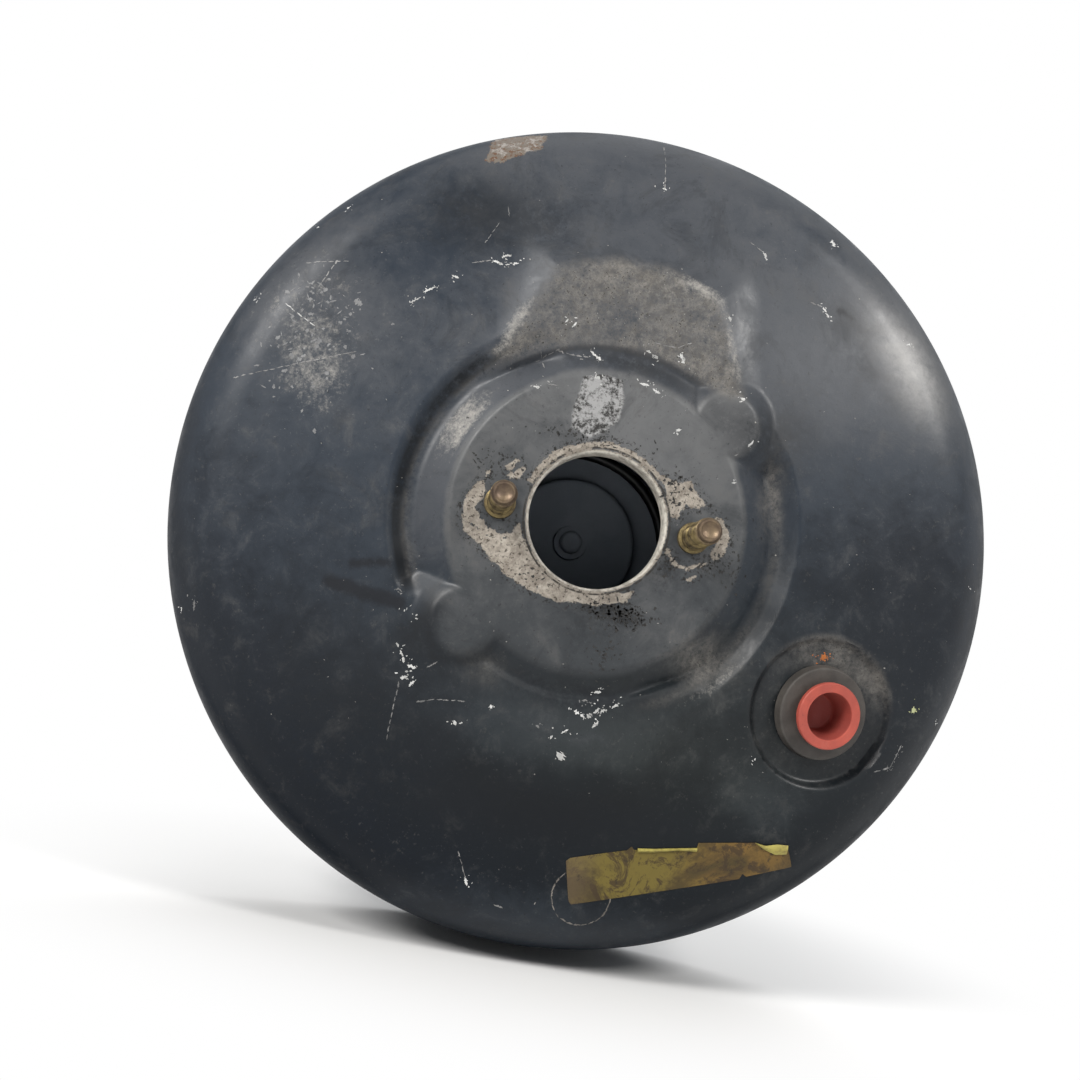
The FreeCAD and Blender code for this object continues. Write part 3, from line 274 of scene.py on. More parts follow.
def rounded(points, steps=6):
    """A profile's points (r, y, corner radius) with its corners turned into arcs."""
    result = []
    last = len(points) - 1
    for k, point in enumerate(points):
        here = Vector(point[:2])
        if len(point) < 3 or k in (0, last):
            result.append(tuple(here))
            continue
        before = (Vector(points[k - 1][:2]) - here)
        after = (Vector(points[k + 1][:2]) - here)
        half = before.angle(after) / 2
        reach = min(point[2] / math.tan(half), before.length * 0.49, after.length * 0.49)
        radius = reach * math.tan(half)
        middle = here + (before.normalized() + after.normalized()).normalized() * radius / math.sin(half)
        start = here + before.normalized() * reach - middle
        end = here + after.normalized() * reach - middle
        sweep = start.angle_signed(end)
        for step in range(steps + 1):
            turned = start.copy()
            turned.rotate(Matrix.Rotation(-sweep * step / steps, 2))
            result.append(tuple(middle + turned))
    return result


def mesh_object(name, vertices, faces, body, sharp=38):
    """An object from millimetre points, riding on a body."""
    mesh = bpy.data.meshes.new(name)
    vertices = np.asarray(vertices, float) * MM
    faces = np.asarray(faces)
    mesh.vertices.add(len(vertices))
    mesh.vertices.foreach_set("co", vertices.ravel())
    mesh.loops.add(faces.size)
    mesh.loops.foreach_set("vertex_index", faces.ravel())
    mesh.polygons.add(len(faces))
    mesh.polygons.foreach_set("loop_start", np.arange(0, faces.size, faces.shape[1]))
    mesh.update(calc_edges=True)
    mesh.validate()
    tidy = bmesh.new()
    tidy.from_mesh(mesh)
    bmesh.ops.remove_doubles(tidy, verts=tidy.verts, dist=1e-7)
    bmesh.ops.recalc_face_normals(tidy, faces=tidy.faces)
    tidy.to_mesh(mesh)
    tidy.free()
    shade(mesh, sharp)
    item = bpy.data.objects.new(name, mesh)
    bpy.context.scene.collection.objects.link(item)
    if body:
        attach(item, body)
    return item


def shade(mesh, sharp):
    """Smooth shading, with edges sharp past an angle."""
    mesh.polygons.foreach_set("use_smooth", np.ones(len(mesh.polygons), bool))
    mesh.set_sharp_from_angle(angle=math.radians(sharp))


def grid_faces(rows, columns, close_rows, close_columns=True):
    """Quads between neighbouring rows of a grid of points."""
    row = np.arange(rows if close_rows else rows - 1)
    column = np.arange(columns if close_columns else columns - 1)
    row, column = [part.ravel() for part in np.meshgrid(row, column, indexing="ij")]
    next_row = (row + 1) % rows
    next_column = (column + 1) % columns
    corners = [(row, column), (row, next_column), (next_row, next_column), (next_row, column)]
    return np.stack([a * columns + b for a, b in corners], -1)


def lathe(name, profile, body, segments=96, closed=True, sharp=38):
    """A turned piece about Y from a profile of (r, y)."""
    profile = np.array(profile, float)
    angle = np.linspace(0, 2 * math.pi, segments, endpoint=False)
    r, y = profile[:, 0:1], profile[:, 1:2]
    grid = np.stack([r * np.cos(angle), y + 0 * angle, r * np.sin(angle)], -1)
    faces = grid_faces(len(profile), segments, closed)
    return mesh_object(name, grid.reshape(-1, 3), faces, body, sharp)


def put_on_port(item):
    """Moves a piece modelled about Y onto the floor of the port's pocket."""
    turn = math.radians(PORT_ANGLE)
    tilt = Matrix.Rotation(math.radians(PORT_TILT), 4, Vector((-math.sin(turn), 0, math.cos(turn))))
    item.data.transform(Matrix.Translation(Vector(PORT_CENTRE) * MM) @ tilt)
    return item


def drill(item, cutters):
    """Cuts closed cutters out of a piece and deletes them."""
    for cutter in cutters:
        modifier = item.modifiers.new("drill", "BOOLEAN")
        modifier.operation = "DIFFERENCE"
        modifier.solver = "MANIFOLD"
        modifier.object = cutter
    bpy.context.view_layer.update()
    cut = item.evaluated_get(bpy.context.evaluated_depsgraph_get())
    mesh = bpy.data.meshes.new_from_object(cut)
    item.modifiers.clear()
    item.data = mesh
    for cutter in cutters:
        bpy.data.objects.remove(cutter)
    return item


def rod(name, radius, low, high, x=0.0, z=0.0):
    """A closed cylinder along Y, used to cut holes."""
    profile = [(0, low), (radius, low), (radius, high), (0, high)]
    item = lathe(name, profile, SHELL, 48, closed=False)
    item.data.transform(Matrix.Translation(Vector((x, 0, z)) * MM))
    return item


SEGMENTS = 640
CRIMPS = 8
CRIMP_ANGLE = 7.0
CRIMP_BITE = 1.2
CRIMP_START = -37.85
CRIMP_SOFT_ANGLE = 0.7
CRIMP_SOFT = 0.6
HUB_STEP = 0.5
DOME_STEP = 0.8
BACK_STEP = 1.5
FINE_END = 90
LIP_STEPS = 3
ROUND_STEPS = 5


def shell_section():
    """Rows of the shell's closed section: radius, depth (None where the relief gives it) and offset."""
    rows = []
    lip = BORE_RADIUS
    for step in range(LIP_STEPS + 1):
        rows.append((lip, BORE_LIP - step * (BORE_LIP - BORE_ROUND) / LIP_STEPS, 0))
    for step in range(1, ROUND_STEPS + 1):
        turn = step / ROUND_STEPS * math.pi / 2
        rows.append((lip + BORE_ROUND * (1 - math.cos(turn)), BORE_ROUND * (1 - math.sin(turn)), 0))
    rows += [(r, None, 0) for r in np.arange(lip + BORE_ROUND + HUB_STEP, FINE_END, HUB_STEP)]
    rows += [(r, None, 0) for r in np.arange(FINE_END, SHOULDER_START, DOME_STEP)]
    back = RIM - FACE
    outer = rounded([
        (SHELL_RADIUS, SHOULDER_DEPTH + SHOULDER_RADIUS),
        (SHELL_RADIUS + WALL_FLARE, back, 1.2),
        (RIM_RADIUS, back + RIM_STEP, 1.6),
        (RIM_RADIUS, RIM_END - FACE, 0.4),
        (RIM_RADIUS - SHEET, RIM_END - FACE, 0.4),
        (RIM_RADIUS - SHEET, back + RIM_STEP + SHEET, 1.0),
        (SHELL_RADIUS + WALL_FLARE - SHEET, back + SHEET, 2.0),
        (SHELL_RADIUS - SHEET, SHOULDER_DEPTH + SHOULDER_RADIUS),
    ])
    turns = np.linspace(math.atan(DOME_SLOPE), math.pi / 2 - WALL_FLARE / (back - SHOULDER_DEPTH), 26)
    middle_r = SHOULDER_START - SHOULDER_RADIUS * math.sin(turns[0])
    middle_d = float(plain_depth(SHOULDER_START)) + SHOULDER_RADIUS * math.cos(turns[0])

    def bend(radius, turns):
        """Rows along the shoulder's bend."""
        return [(middle_r + radius * math.sin(turn), middle_d - radius * math.cos(turn), 0) for turn in turns]

    rows += bend(SHOULDER_RADIUS, turns)
    rows += [(r, d, 0) for r, d in outer[1:-1]]
    rows += bend(SHOULDER_RADIUS - SHEET, turns[::-2])
    rows += [(r, None, SHEET) for r in np.arange(SHOULDER_START - SHEET, lip + SHEET + 1, -BACK_STEP)]
    rows.append((lip + SHEET, SHEET + 0.8, 0))
    rows.append((lip + SHEET, BORE_LIP, 0))
    return rows


def front_shell():
    """The front pressing as a closed skin with its relief, rim and bore lip."""
    angle = np.linspace(0, 2 * math.pi, SEGMENTS, endpoint=False)
    rows = shell_section()
    grid = np.zeros((len(rows), SEGMENTS, 3))
    for k, (r, d, offset) in enumerate(rows):
        radius = np.full(SEGMENTS, float(r))
        if d is not None and d > CRIMP_START - FACE - 2 and r > SHELL_RADIUS:
            bump = np.zeros(SEGMENTS)
            for c in range(CRIMPS):
                away = np.abs(turn_from(np.degrees(angle), (c + 0.5) * 360 / CRIMPS))
                half, soft = CRIMP_ANGLE / 2, CRIMP_SOFT_ANGLE
                bump = np.maximum(bump, 1 - ease(away, half - soft, half + soft))
            foot = CRIMP_START - FACE
            radius -= CRIMP_BITE * bump * ease(d, foot - CRIMP_SOFT, foot + CRIMP_SOFT)
        x, z = radius * np.cos(angle), radius * np.sin(angle)
        depth = relief(x, z) + offset if d is None else np.full(SEGMENTS, float(d))
        if d is None and offset == 0:
            depth = np.where(r < HUB_FLAT, np.maximum(depth, 0.0), depth)
        if d is not None and SHOULDER_START - 1 < r < POCKET_END and d < SHOULDER_DEPTH:
            depth = smooth_max(depth, pocket(x, z), POCKET_BEND)
        grid[k] = np.stack([x, FACE + depth, z], -1)
    faces = grid_faces(len(rows), SEGMENTS, True)
    shell = mesh_object("front_pressing", grid.reshape(-1, 3), faces, SHELL)
    cutters = [rod(f"stud_cutter_{side}", STUD_HOLE, FACE - 3, FACE + 5, side * STUD_X) for side in (-1, 1)]
    cutters.append(put_on_port(rod("port_cutter", PORT_HOLE, -4, 8)))
    drill(shell, cutters)
    shade(shell.data, 40)
    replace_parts(shell, "front_shell")
    return shell


# Marks on the paint: strokes, each (x, z, x, z, half width), and outlines of (x, z)

CHIPS = [
    (-68.4, 57.8, -65.1, 60.7, 0.25), (-64.8, 62.1, -61.1, 64.4, 0.32), (-57.2, 69.1, -54.5, 68.2, 0.42),
    (-45.4, 76.3, -41.7, 75.3, 0.4), (-41.7, 75.3, -36.9, 76.9, 0.28), (-43.4, 77.7, -39.5, 79.1, 0.25),
    (-107.1, 51.6, -95.8, 45.3, 0.12), (3.8, 111.7, 5.9, 111.4, 0.3), (39.8, 96.7, 41.4, 94.9, 0.38),
    (62.1, 107.7, 63.5, 104.9, 0.7), (61.5, 82.8, 64.3, 79.3, 0.3), (90.9, 76.7, 93.2, 77.3, 0.25),
    (30.8, 71.9, 31.4, 70.3, 0.35), (16.9, 57.2, 19.1, 53.7, 0.42), (6.5, 55.8, 10.4, 53.6, 0.4),
    (5.9, 44.4, 9.1, 44.1, 0.5), (9.8, 43.6, 13.6, 41.8, 0.45), (20.1, 32.9, 20.7, 31.4, 0.75),
    (37.5, 45.6, 39.7, 46.0, 0.35), (42.4, 31.2, 43.7, 33.2, 0.28), (39.7, 19.5, 39.8, 18.9, 0.4),
    (-53.2, -46.6, -49.3, -52.9, 0.3), (-49.3, -52.9, -45.7, -53.3, 0.34), (-50.2, -57.2, -47.9, -56.2, 0.6),
    (-47.1, -59.1, -45.4, -56.6, 0.5), (-22.2, -61.1, -21.3, -61.0, 0.45), (-31.9, -66.8, -31.3, -68.5, 0.35),
    (-121.5, -48.4, -121.1, -48.4, 0.6), (-52.0, -36.3, -51.8, -36.6, 0.3), (-48.9, -37.6, -48.5, -37.9, 0.3),
    (2.9, -57.8, 7.2, -59.3, 0.5), (7.2, -59.3, 11.2, -55.3, 0.45), (8.3, -51.5, 10.8, -50.8, 0.28),
    (10.9, -57.0, 13.1, -55.7, 0.4), (14.1, -55.5, 16.2, -53.3, 0.28), (9.5, -61.8, 11.3, -59.7, 0.35),
    (-2.5, -66.6, -2.1, -67.1, 0.6), (1.2, -73.0, 2.6, -70.6, 1.0), (0.6, -65.1, 3.2, -63.2, 0.3),
    (-19.9, -113.6, -18.8, -115.9, 0.4), (61.5, -63.0, 62.2, -63.2, 0.35), (121.0, -42.2, 122.2, -42.4, 0.4),
    (125.1, 2.6, 125.7, 2.1, 0.4), (-19.8, 60.1, -19.1, 59.9, 0.5), (-17.1, 59.6, -16.4, 59.1, 0.5),
    (-26.4, 37.3, -23.9, 37.1, 0.42), (-10.6, 52.3, -6.5, 49.4, 0.5), (-8.4, 43.3, -6.5, 43.6, 0.55),
    (-116.1, 54.4, -115.5, 54.6, 0.3), (-118.0, 52.7, -117.5, 52.3, 0.3), (-103.2, 80.1, -102.5, 80.2, 0.3),
    (-94.6, 87.3, -93.8, 88.2, 0.3),
]
SCRATCHES = [
    (-51.7, 74.2, -45.4, 76.3, 0.16), (-43.8, 95.5, -42.8, 91.4, 0.16), (-45.4, 89.5, -49.1, 80.9, 0.14),
    (-118.4, 25.3, -81.7, 39.7, 0.14), (-103.0, 66.0, -89.6, 68.4, 0.14), (-97.7, 58.0, -93.2, 68.9, 0.16),
    (3.1, 128.7, 4.9, 111.2, 0.13), (34.7, 99.4, 39.8, 96.7, 0.14), (57.0, 83.5, 61.5, 82.8, 0.16),
    (20.5, 60.8, 15.4, 58.2, 0.16), (15.4, 58.2, 8.6, 58.5, 0.15), (38.4, 27.3, 40.1, 28.5, 0.18),
    (-50.4, -58.0, -50.9, -76.8, 0.15), (-43.0, -52.9, -39.8, -50.2, 0.16),
    (-43.9, -63.4, -38.5, -61.7, 0.18), (-38.5, -61.7, -29.7, -60.6, 0.16),
    (-117.0, -44.7, -116.5, -48.4, 0.2), (-56.1, -30.3, -54.0, -31.8, 0.2), (4.8, -54.4, 7.6, -54.2, 0.2),
    (-7.6, -63.8, -6.2, -64.8, 0.25), (-23.5, -105.8, -19.5, -114.1, 0.16),
    (-9.6, -120.4, -7.0, -120.9, 0.18), (-26.9, 45.9, -19.8, 51.3, 0.14), (-22.0, 38.7, -18.8, 38.7, 0.2),
    (-20.7, 50.5, -15.0, 50.0, 0.18), (-15.0, 50.0, -10.4, 50.1, 0.22), (-25.9, 49.5, -23.5, 43.5, 0.15),
    (101.4, -60.8, 106.9, -58.7, 0.2), (106.9, -58.7, 109.4, -50.9, 0.2),
]
SMEARS = [
    (-76.1, -32.3, -54.6, -35.0, 2.2), (-70.5, -25.5, -60.4, -23.4, 1.3), (67.3, 83.1, 71.8, 81.2, 0.6),
]
BARE_PATCHES = [
    [(-41, -1.3), (-38.2, 4.1), (-34.5, 7.8), (-34.3, 9.8), (-36.1, 9), (-35.8, 4.6), (-34.4, 3),
     (-37, -2.6), (-33.1, -7.8), (-28, -9.3), (-23.4, -7.5), (-23.5, -9.5), (-28.7, -10.9), (-33.7, -10.3),
     (-37.1, -7.5), (-40.3, -7.1)],
    [(-30.7, 11.5), (-27.3, 14.6), (-26.2, 13.8), (-28.5, 10.4)],
    [(-29.2, 8.8), (-25.4, 12), (-23.8, 11.8), (-25.2, 8.5), (-28, 7.5)],
    [(-40.7, -6.7), (-39.3, -10.4), (-35.2, -12.6), (-29.5, -17.4), (-23.9, -21.3), (-16.4, -24.6),
     (-7.3, -26.3), (4.4, -25.5), (13.3, -22.7), (14.4, -19.3), (5.6, -21.4), (-4.2, -21.7), (-10.6, -18.9),
     (-16.3, -14.5), (-20.5, -9.9), (-23.2, -4.9), (-25.9, -9.9), (-32.7, -10.2), (-35.9, -8.8)],
    [(-22.5, 8.5), (-20.3, 13.9), (-16.2, 19), (-7.9, 22.9), (-2.2, 24.4), (3.8, 24.2), (11.3, 21.4),
     (17.5, 17), (16.7, 15.9), (10.5, 19.7), (4.1, 22.2), (-1.9, 22.4), (-7.6, 20.8), (-14.9, 16.9),
     (-19, 12.2), (-21.2, 7.8)],
    [(16.7, 17.4), (23.2, 16.1), (26.5, 17.4), (27.9, 14.9), (32.9, 10.9), (30.3, 9.4), (26.2, 9.6),
     (24.5, 5.3), (21.4, 5.7), (19.8, 11.9)],
    [(36, 8.4), (38.2, 6.8), (41.4, 2.9), (40.4, -3.2), (37.3, -5.8), (36.3, -4), (38, 0.3), (38.9, 3),
     (35.7, 6.9)],
]
BARE_LINES = [
    (36.4, -6.4, 29.4, -9.7, 0.4), (29.4, -9.7, 25.2, -8.5, 0.5), (25.2, -8.5, 22.7, -5, 0.4),
    (30.5, -13, 34, -10.1, 0.35),
]
CRUST = [
    (-11.5, 43.2), (-5.8, 45.0), (0.3, 44.3), (2.3, 38.8), (1.9, 32.2), (-2.6, 26.8), (-6.7, 24.2),
    (-12.6, 26.9), (-13.2, 32.8), (-12.1, 38),
]
RUST = [(-53.5, 110.6), (-48.9, 110.1), (-43, 114.3), (-37, 117.5), (-35, 126), (-52.3, 122)]
ORANGE_DAB = [(77.0, -28.9, 80.2, -28.2, 0.32), (77.6, -27.2, 79.6, -29.8, 0.3),
              (78.6, -26.6, 79.4, -28.6, 0.3)]
PALE_DAB = [(110.6, -38.6, 111.8, -40.2, 0.5), (110.5, -40.0, 112.0, -38.9, 0.35)]
RING_CENTRE = (16.2, -113.6)
RING_RADIUS = 9.1


def on_ring(turn):
    """A point of the scratched ring."""
    turn = math.radians(turn)
    return RING_CENTRE[0] + RING_RADIUS * math.cos(turn), RING_CENTRE[1] + RING_RADIUS * math.sin(turn)


RING_SCRATCH = [(*on_ring(turn), *on_ring(turn + 18), 0.17) for turn in range(100, 400, 15)]

# Places where specks are strewn, each (middle, spread, count)

GRIME_SPOTS = [((11.5, -26.8), (5.2, 1.9), 300), ((3, -26.8), (4, 1.0), 40), ((23, -9), (1.6, 3), 50),
               ((22, 12), (2, 4), 50), ((-6, 25), (9, 1.0), 60), ((9, -38), (2.5, 4.5), 60),
               ((-33, 13), (4, 2), 40), ((37, -6.5), (3.5, 2.2), 60), ((44.5, -5), (2.5, 5), 40),
               ((-31, -3), (2.5, 2), 30), ((-17, -19), (3, 1.5), 16)]
SCUFF_SPOTS = [((-98, 40), (7, 10), 90), ((-94, 54), (8, 4), 40)]
SPECK_SPOTS = [((0, 0), (62, 62), 130), ((5, 66), (22, 10), 50)]
SPECKS_START = BORE_RADIUS + 0.8
SPECKS_END = 127.0
FLAKE_PROUD = 0.05
FLAKE_THICK = 0.04
PIECE_LENGTH = 2.2
HAIRLINE = 0.2
STATION = 0.25
FAR = 9.0
STROKE_REACH = 45


def blob(points, x, z, width, height=None):
    """A soft round spot, 1 at its centre."""
    away = ((points[:, 0] - x) / width) ** 2 + ((points[:, 1] - z) / (height or width)) ** 2
    return np.exp(-away)


def spots(points, table):
    """The sum of soft spots, each (strength, x, z, width, height)."""
    return sum(strength * blob(points, *place) for strength, *place in table)


def band(r, radius, width):
    """A soft ring, 1 at its radius."""
    return np.exp(-((r - radius) / width) ** 2)


def sector(angle, middle, spread, power=2):
    """A soft sector, 1 at its middle."""
    return np.exp(-((turn_from(angle, middle) / spread) ** power))


def stretch(value, start, full, fall, end):
    """1 from full to fall, 0 before start and after end, smooth between."""
    return ease(value, start, full) * (1 - ease(value, fall, end))


def strokes(points, marks):
    """Signed distance from the nearest of many strokes, where one is near."""
    distance = np.full(len(points), FAR)
    for *ends, width in marks:
        start, end = np.array(ends).reshape(2, 2)
        near = np.abs(points - start).max(1) < STROKE_REACH
        distance[near] = np.minimum(distance[near], to_segment(points[near], start, end) - width)
    return distance


def scatter(marks, draw, extra):
    """Breaks strokes into ragged pieces, with small chips strewn around the wide ones."""
    pieces = []
    for *ends, width in marks:
        start, end = np.array(ends).reshape(2, 2)
        long = np.linalg.norm(end - start)
        count = max(1, int(long / PIECE_LENGTH))
        for k in range(count):
            a = start + (end - start) * (k + draw.uniform(-0.1, 0.15)) / count
            b = start + (end - start) * (k + draw.uniform(0.75, 1.05)) / count
            pieces.append((a, b + draw.normal(0, 0.12, 2), width * draw.uniform(0.7, 1.6)))
        if width < HAIRLINE or not extra:
            continue
        for _ in range(int(3 + long * 1.2)):
            a = start + (end - start) * draw.uniform(-0.1, 1.1) + draw.normal(0, 0.9, 2)
            pieces.append((a, a + draw.normal(0, 0.4, 2), draw.uniform(0.07, 0.24)))
    return pieces


def flakes(name, marks, seed, extra=True):
    """Chips and scratches, as thin ragged slivers lying on the paint."""
    draw = np.random.default_rng(seed)
    points, faces = [], []
    for a, b, width in scatter(marks, draw, extra):
        long = max(np.linalg.norm(b - a), 0.2)
        stations = max(4, int(long / STATION))
        along = (b - a) / max(np.linalg.norm(b - a), 1e-6)
        across = np.array([-along[1], along[0]])
        faces.append(grid_faces(stations + 1, 4, False) + len(points))
        for k in range(stations + 1):
            t = k / stations
            taper = min(1.0, 4 * t + 0.02, 4 * (1 - t) + 0.02) * width
            middle = a + along * long * t + across * draw.normal(0, 0.25 * width)
            left = middle + across * taper * draw.uniform(0.4, 1.3)
            right = middle - across * taper * draw.uniform(0.4, 1.3)
            points += [(*left, 0), (*right, 0), (*right, FLAKE_THICK), (*left, FLAKE_THICK)]
    points = np.array(points)
    x, z = points[:, 0], points[:, 1]
    r = np.hypot(x, z)
    depth = np.where(r < SHOULDER_START, relief(x, z), plain_depth(r)) - FLAKE_PROUD
    places = np.stack([x, FACE + depth + points[:, 2], z], -1)
    return mesh_object(name, places, np.concatenate(faces), SHELL, 60)


def specks(seed, places, lengths, widths):
    """Short strokes strewn around places, each (middle, spread, count)."""
    draw = np.random.default_rng(seed)
    marks = []
    for middle, spread, count in places:
        for _ in range(count):
            start = draw.normal(middle, spread)
            if SPECKS_START < math.hypot(*start) < SPECKS_END:
                end = start + draw.normal(0, 1, 2) * draw.uniform(*lengths)
                marks.append((*start, *end, draw.uniform(*widths)))
    return marks


# Soft spots on the paint, each (strength, x, z, width, height)

# Darker spots: grime close to the bore, painted shade elsewhere on the hub and dome
GRIME_AND_SHADE_SPOTS = [
    (1.0, 0, -90, 62, 10), (0.7, -60, -70, 30, 22), (0.6, 2, -54, 34, 5), (0.5, -30, 92, 14, 12),
    (0.8, -54, 92, 16, 13), (0.4, 68, 80, 8, 8), (0.9, 11, -27.5, 8, 3), (0.4, 4, -32, 12, 5),
    (0.7, 24, -12, 5, 6), (0.5, 0, -42, 3, 9), (0.9, -44.5, -35, 4, 8), (0.9, -48, -44, 6, 5),
    (0.8, 50, 36, 15, 12),
]
DIRT_SPOTS = [(0.55, 53, 17, 4, 14), (0.9, 40, -36, 10, 6), (0.5, -26, -50, 6, 4)]
# Spots that lighten or darken the paint: painted light and shade on the dome
TONE_AND_LIGHT_SPOTS = [
    (-0.3, -72, 78, 32, 28), (-0.12, 68, 92, 24, 20), (-0.2, -115, -10, 40, 45), (-0.55, 105, 5, 38, 55),
    (0.5, 3, -64, 40, 13), (-0.3, 5, -90, 60, 12), (0.55, 10, -124, 70, 12), (0.6, 66, -78, 18, 13),
    (-0.15, 40, 105, 60, 25), (-0.18, -60, 85, 30, 30),
]
# Paler spots: rubbed paint and painted highlights
WEAR_AND_HIGHLIGHT_SPOTS = [(0.45, -100, 50, 22, 26), (0.36, -92, 28, 13, 16), (0.4, 9, 75, 16, 5)]
FAN_EDGE_SPOTS = [(0.8, -36, 57, 8, 14), (0.7, 18, 78, 14, 6), (0.7, 34, 62, 8, 15)]
GREEN_SPOTS = [(1.0, 35, -68, 85, 50)]
# The lower-left lobe, whose foot gets painted shade
LEFT_LOBE = (-35.0, -36.8)
LEFT_LOBE_FOOT = 12.6


def bare_edge(points):
    """Signed distance from the edge of the bare steel."""
    patches = [to_outline(points, outline) for outline in BARE_PATCHES]
    return np.minimum.reduce(patches + [strokes(points, BARE_LINES)])


def wear_and_highlight_paint(points, r, angle, fan):
    """Where the paint is rubbed thin and where highlights are painted on it: the hub's left slope, the fan's
    edges, the right wall and the shoulder's upper right.
    """
    edge = np.exp(-((fan - 0.5) / 3.2) ** 2)
    wear_and_highlight = 0.75 * stretch(r, 46, 49, 53.5, 57) * sector(angle, 154, 16)
    wear_and_highlight = wear_and_highlight + edge * spots(points, FAN_EDGE_SPOTS) + 0.5 * band(r, 62, 2.0) * sector(angle, -42, 16)
    return wear_and_highlight + 0.25 * band(r, 117, 8) * sector(angle, 37, 9) + spots(points, WEAR_AND_HIGHLIGHT_SPOTS)


def dirty(points, r, fan, share):
    """Where dirt lies: the fan's plateau, the channels and the port's pocket."""
    x, z = points.T
    plateau = (1 - ease(fan, -3, 3)) * ease(r, 53, 57)
    dirt = 0.85 * plateau + spots(points, DIRT_SPOTS) + 0.3 * share * band(r, 58, 1.6)
    hollow = 1 - ease(port_place(x, z)[1], 22.5, 25.5)
    return dirt * (1 - hollow) + hollow * (0.08 + 0.75 * ease(z + 0.25 * (x - 80), -40, -28))


def grime_and_shade(points, r, angle, share):
    """Where the paint is darker: grime spots near the bore, and painted shade on the channels' walls, around
    the hub's foot at its top and bottom, around the lower-left lobe's foot and on spots of the dome.
    """
    x, z = points.T
    left = sector(angle, 165, 62, 4)
    under = band(np.hypot(x - LEFT_LOBE[0], z - LEFT_LOBE[1]), LEFT_LOBE_FOOT, 1.7) * ease(-z, 36, 42)
    above = band(r, 51, 4.5) * sector(angle, 84, 30)
    below = band(r, 53, 3.5) * sector(angle, -84, 32)
    walls = 1.6 * left * stretch(r, 57.8, 59.2, 61.2, 63.0) + 0.6 * (1 - left) * band(r, 57.5, 2.5)
    return spots(points, GRIME_AND_SHADE_SPOTS) + 0.9 * under + 0.8 * (above + below) + share * walls


def paint_tone_and_light(points, r, angle):
    """How light the paint is, from darkest to palest: painted light and shade, lighter towards the top,
    darker towards the bottom and at the shell's outer edge, with a painted highlight on the hub's upper-left
    slope and spots that lighten or darken it.
    """
    z = points[:, 1]
    tone_and_light = 0.5 + 0.5 * ease(z, -20, 80) - 0.62 * (1 - ease(z, -100, -10)) + spots(points, TONE_AND_LIGHT_SPOTS)
    tone_and_light = tone_and_light + 0.5 * sector(angle, 158, 48, 4) * stretch(r, 45.5, 48, 55, 57.5)
    return tone_and_light - 0.35 * ease(r, 126, 133) * ease(z, -100, -50)


def sheen(points, r):
    """How much the paint shines, least on the shoulder."""
    z = points[:, 1]
    low = 0.12 * (1 - ease(z, -105, -45)) * ease(z, -128, -112)
    shine = SHEEN - 0.26 * ease(r, 124, 133) - low - 0.2 * blob(points, -88, 82, 42)
    return np.clip(shine, DULL_SHEEN, SHEEN)


def write_field(item, name, values):
    """Writes a number on each of a piece's points, for its material to read."""
    layer = item.data.attributes.new(name, "FLOAT", "POINT")
    layer.data.foreach_set("value", values.astype(np.float32))


def shell_marks(shell):
    """Writes where the shell's paint is bare, chipped, worn, dirty or smeared, and where light, shade and
    highlights are painted on it.
    """
    places = np.array([v.co for v in shell.data.vertices], float) / MM
    points = places[:, [0, 2]]
    r = np.hypot(*points.T)
    angle = np.degrees(np.arctan2(points[:, 1], points[:, 0]))
    front = places[:, 1] < FACE + 60
    depth = places[:, 1] - FACE
    share = channel_share(angle)
    fan = to_outline(points, FAN_OUTLINE)
    fields = {
        # The first field holds the paint's tones with painted light and shade in them
        "tone_and_light": (paint_tone_and_light(points, r, angle), 0.4),
        # The hub field marks the flat hub face, which gets painted light
        "hub": ((1 - ease(depth, 0.4, 1.8)) * (1 - ease(r, 58, 62)), 0.0),
        "bare": (bare_edge(points), FAR),
        "lip": (np.where(r < 40, r - (BORE_RADIUS + 1.15), FAR), FAR),
        "smears": (strokes(points, SMEARS), FAR),
        "crust": (to_outline(points, CRUST), FAR),
        "rust": (to_outline(points, RUST), FAR),
        # This field holds rubbed paint and painted highlights
        "wear_and_highlight": (unit(wear_and_highlight_paint(points, r, angle, fan)), 0.0),
        "dirt": (unit(dirty(points, r, fan, share)), 0.0),
        # The dark field holds grime and painted shade
        "dark": (unit(grime_and_shade(points, r, angle, share)), 0.0),
        "green": (spots(points, GREEN_SPOTS), 0.0),
        # A painted highlight on the shoulder's upper right
        "pale": (0.8 * band(r, 117, 8) * sector(angle, 37, 9), 0.0),
        "sheen": (sheen(points, r), WALL_SHEEN),
    }
    for name, (values, elsewhere) in fields.items():
        write_field(shell, name, np.where(front, values, elsewhere))


# Materials

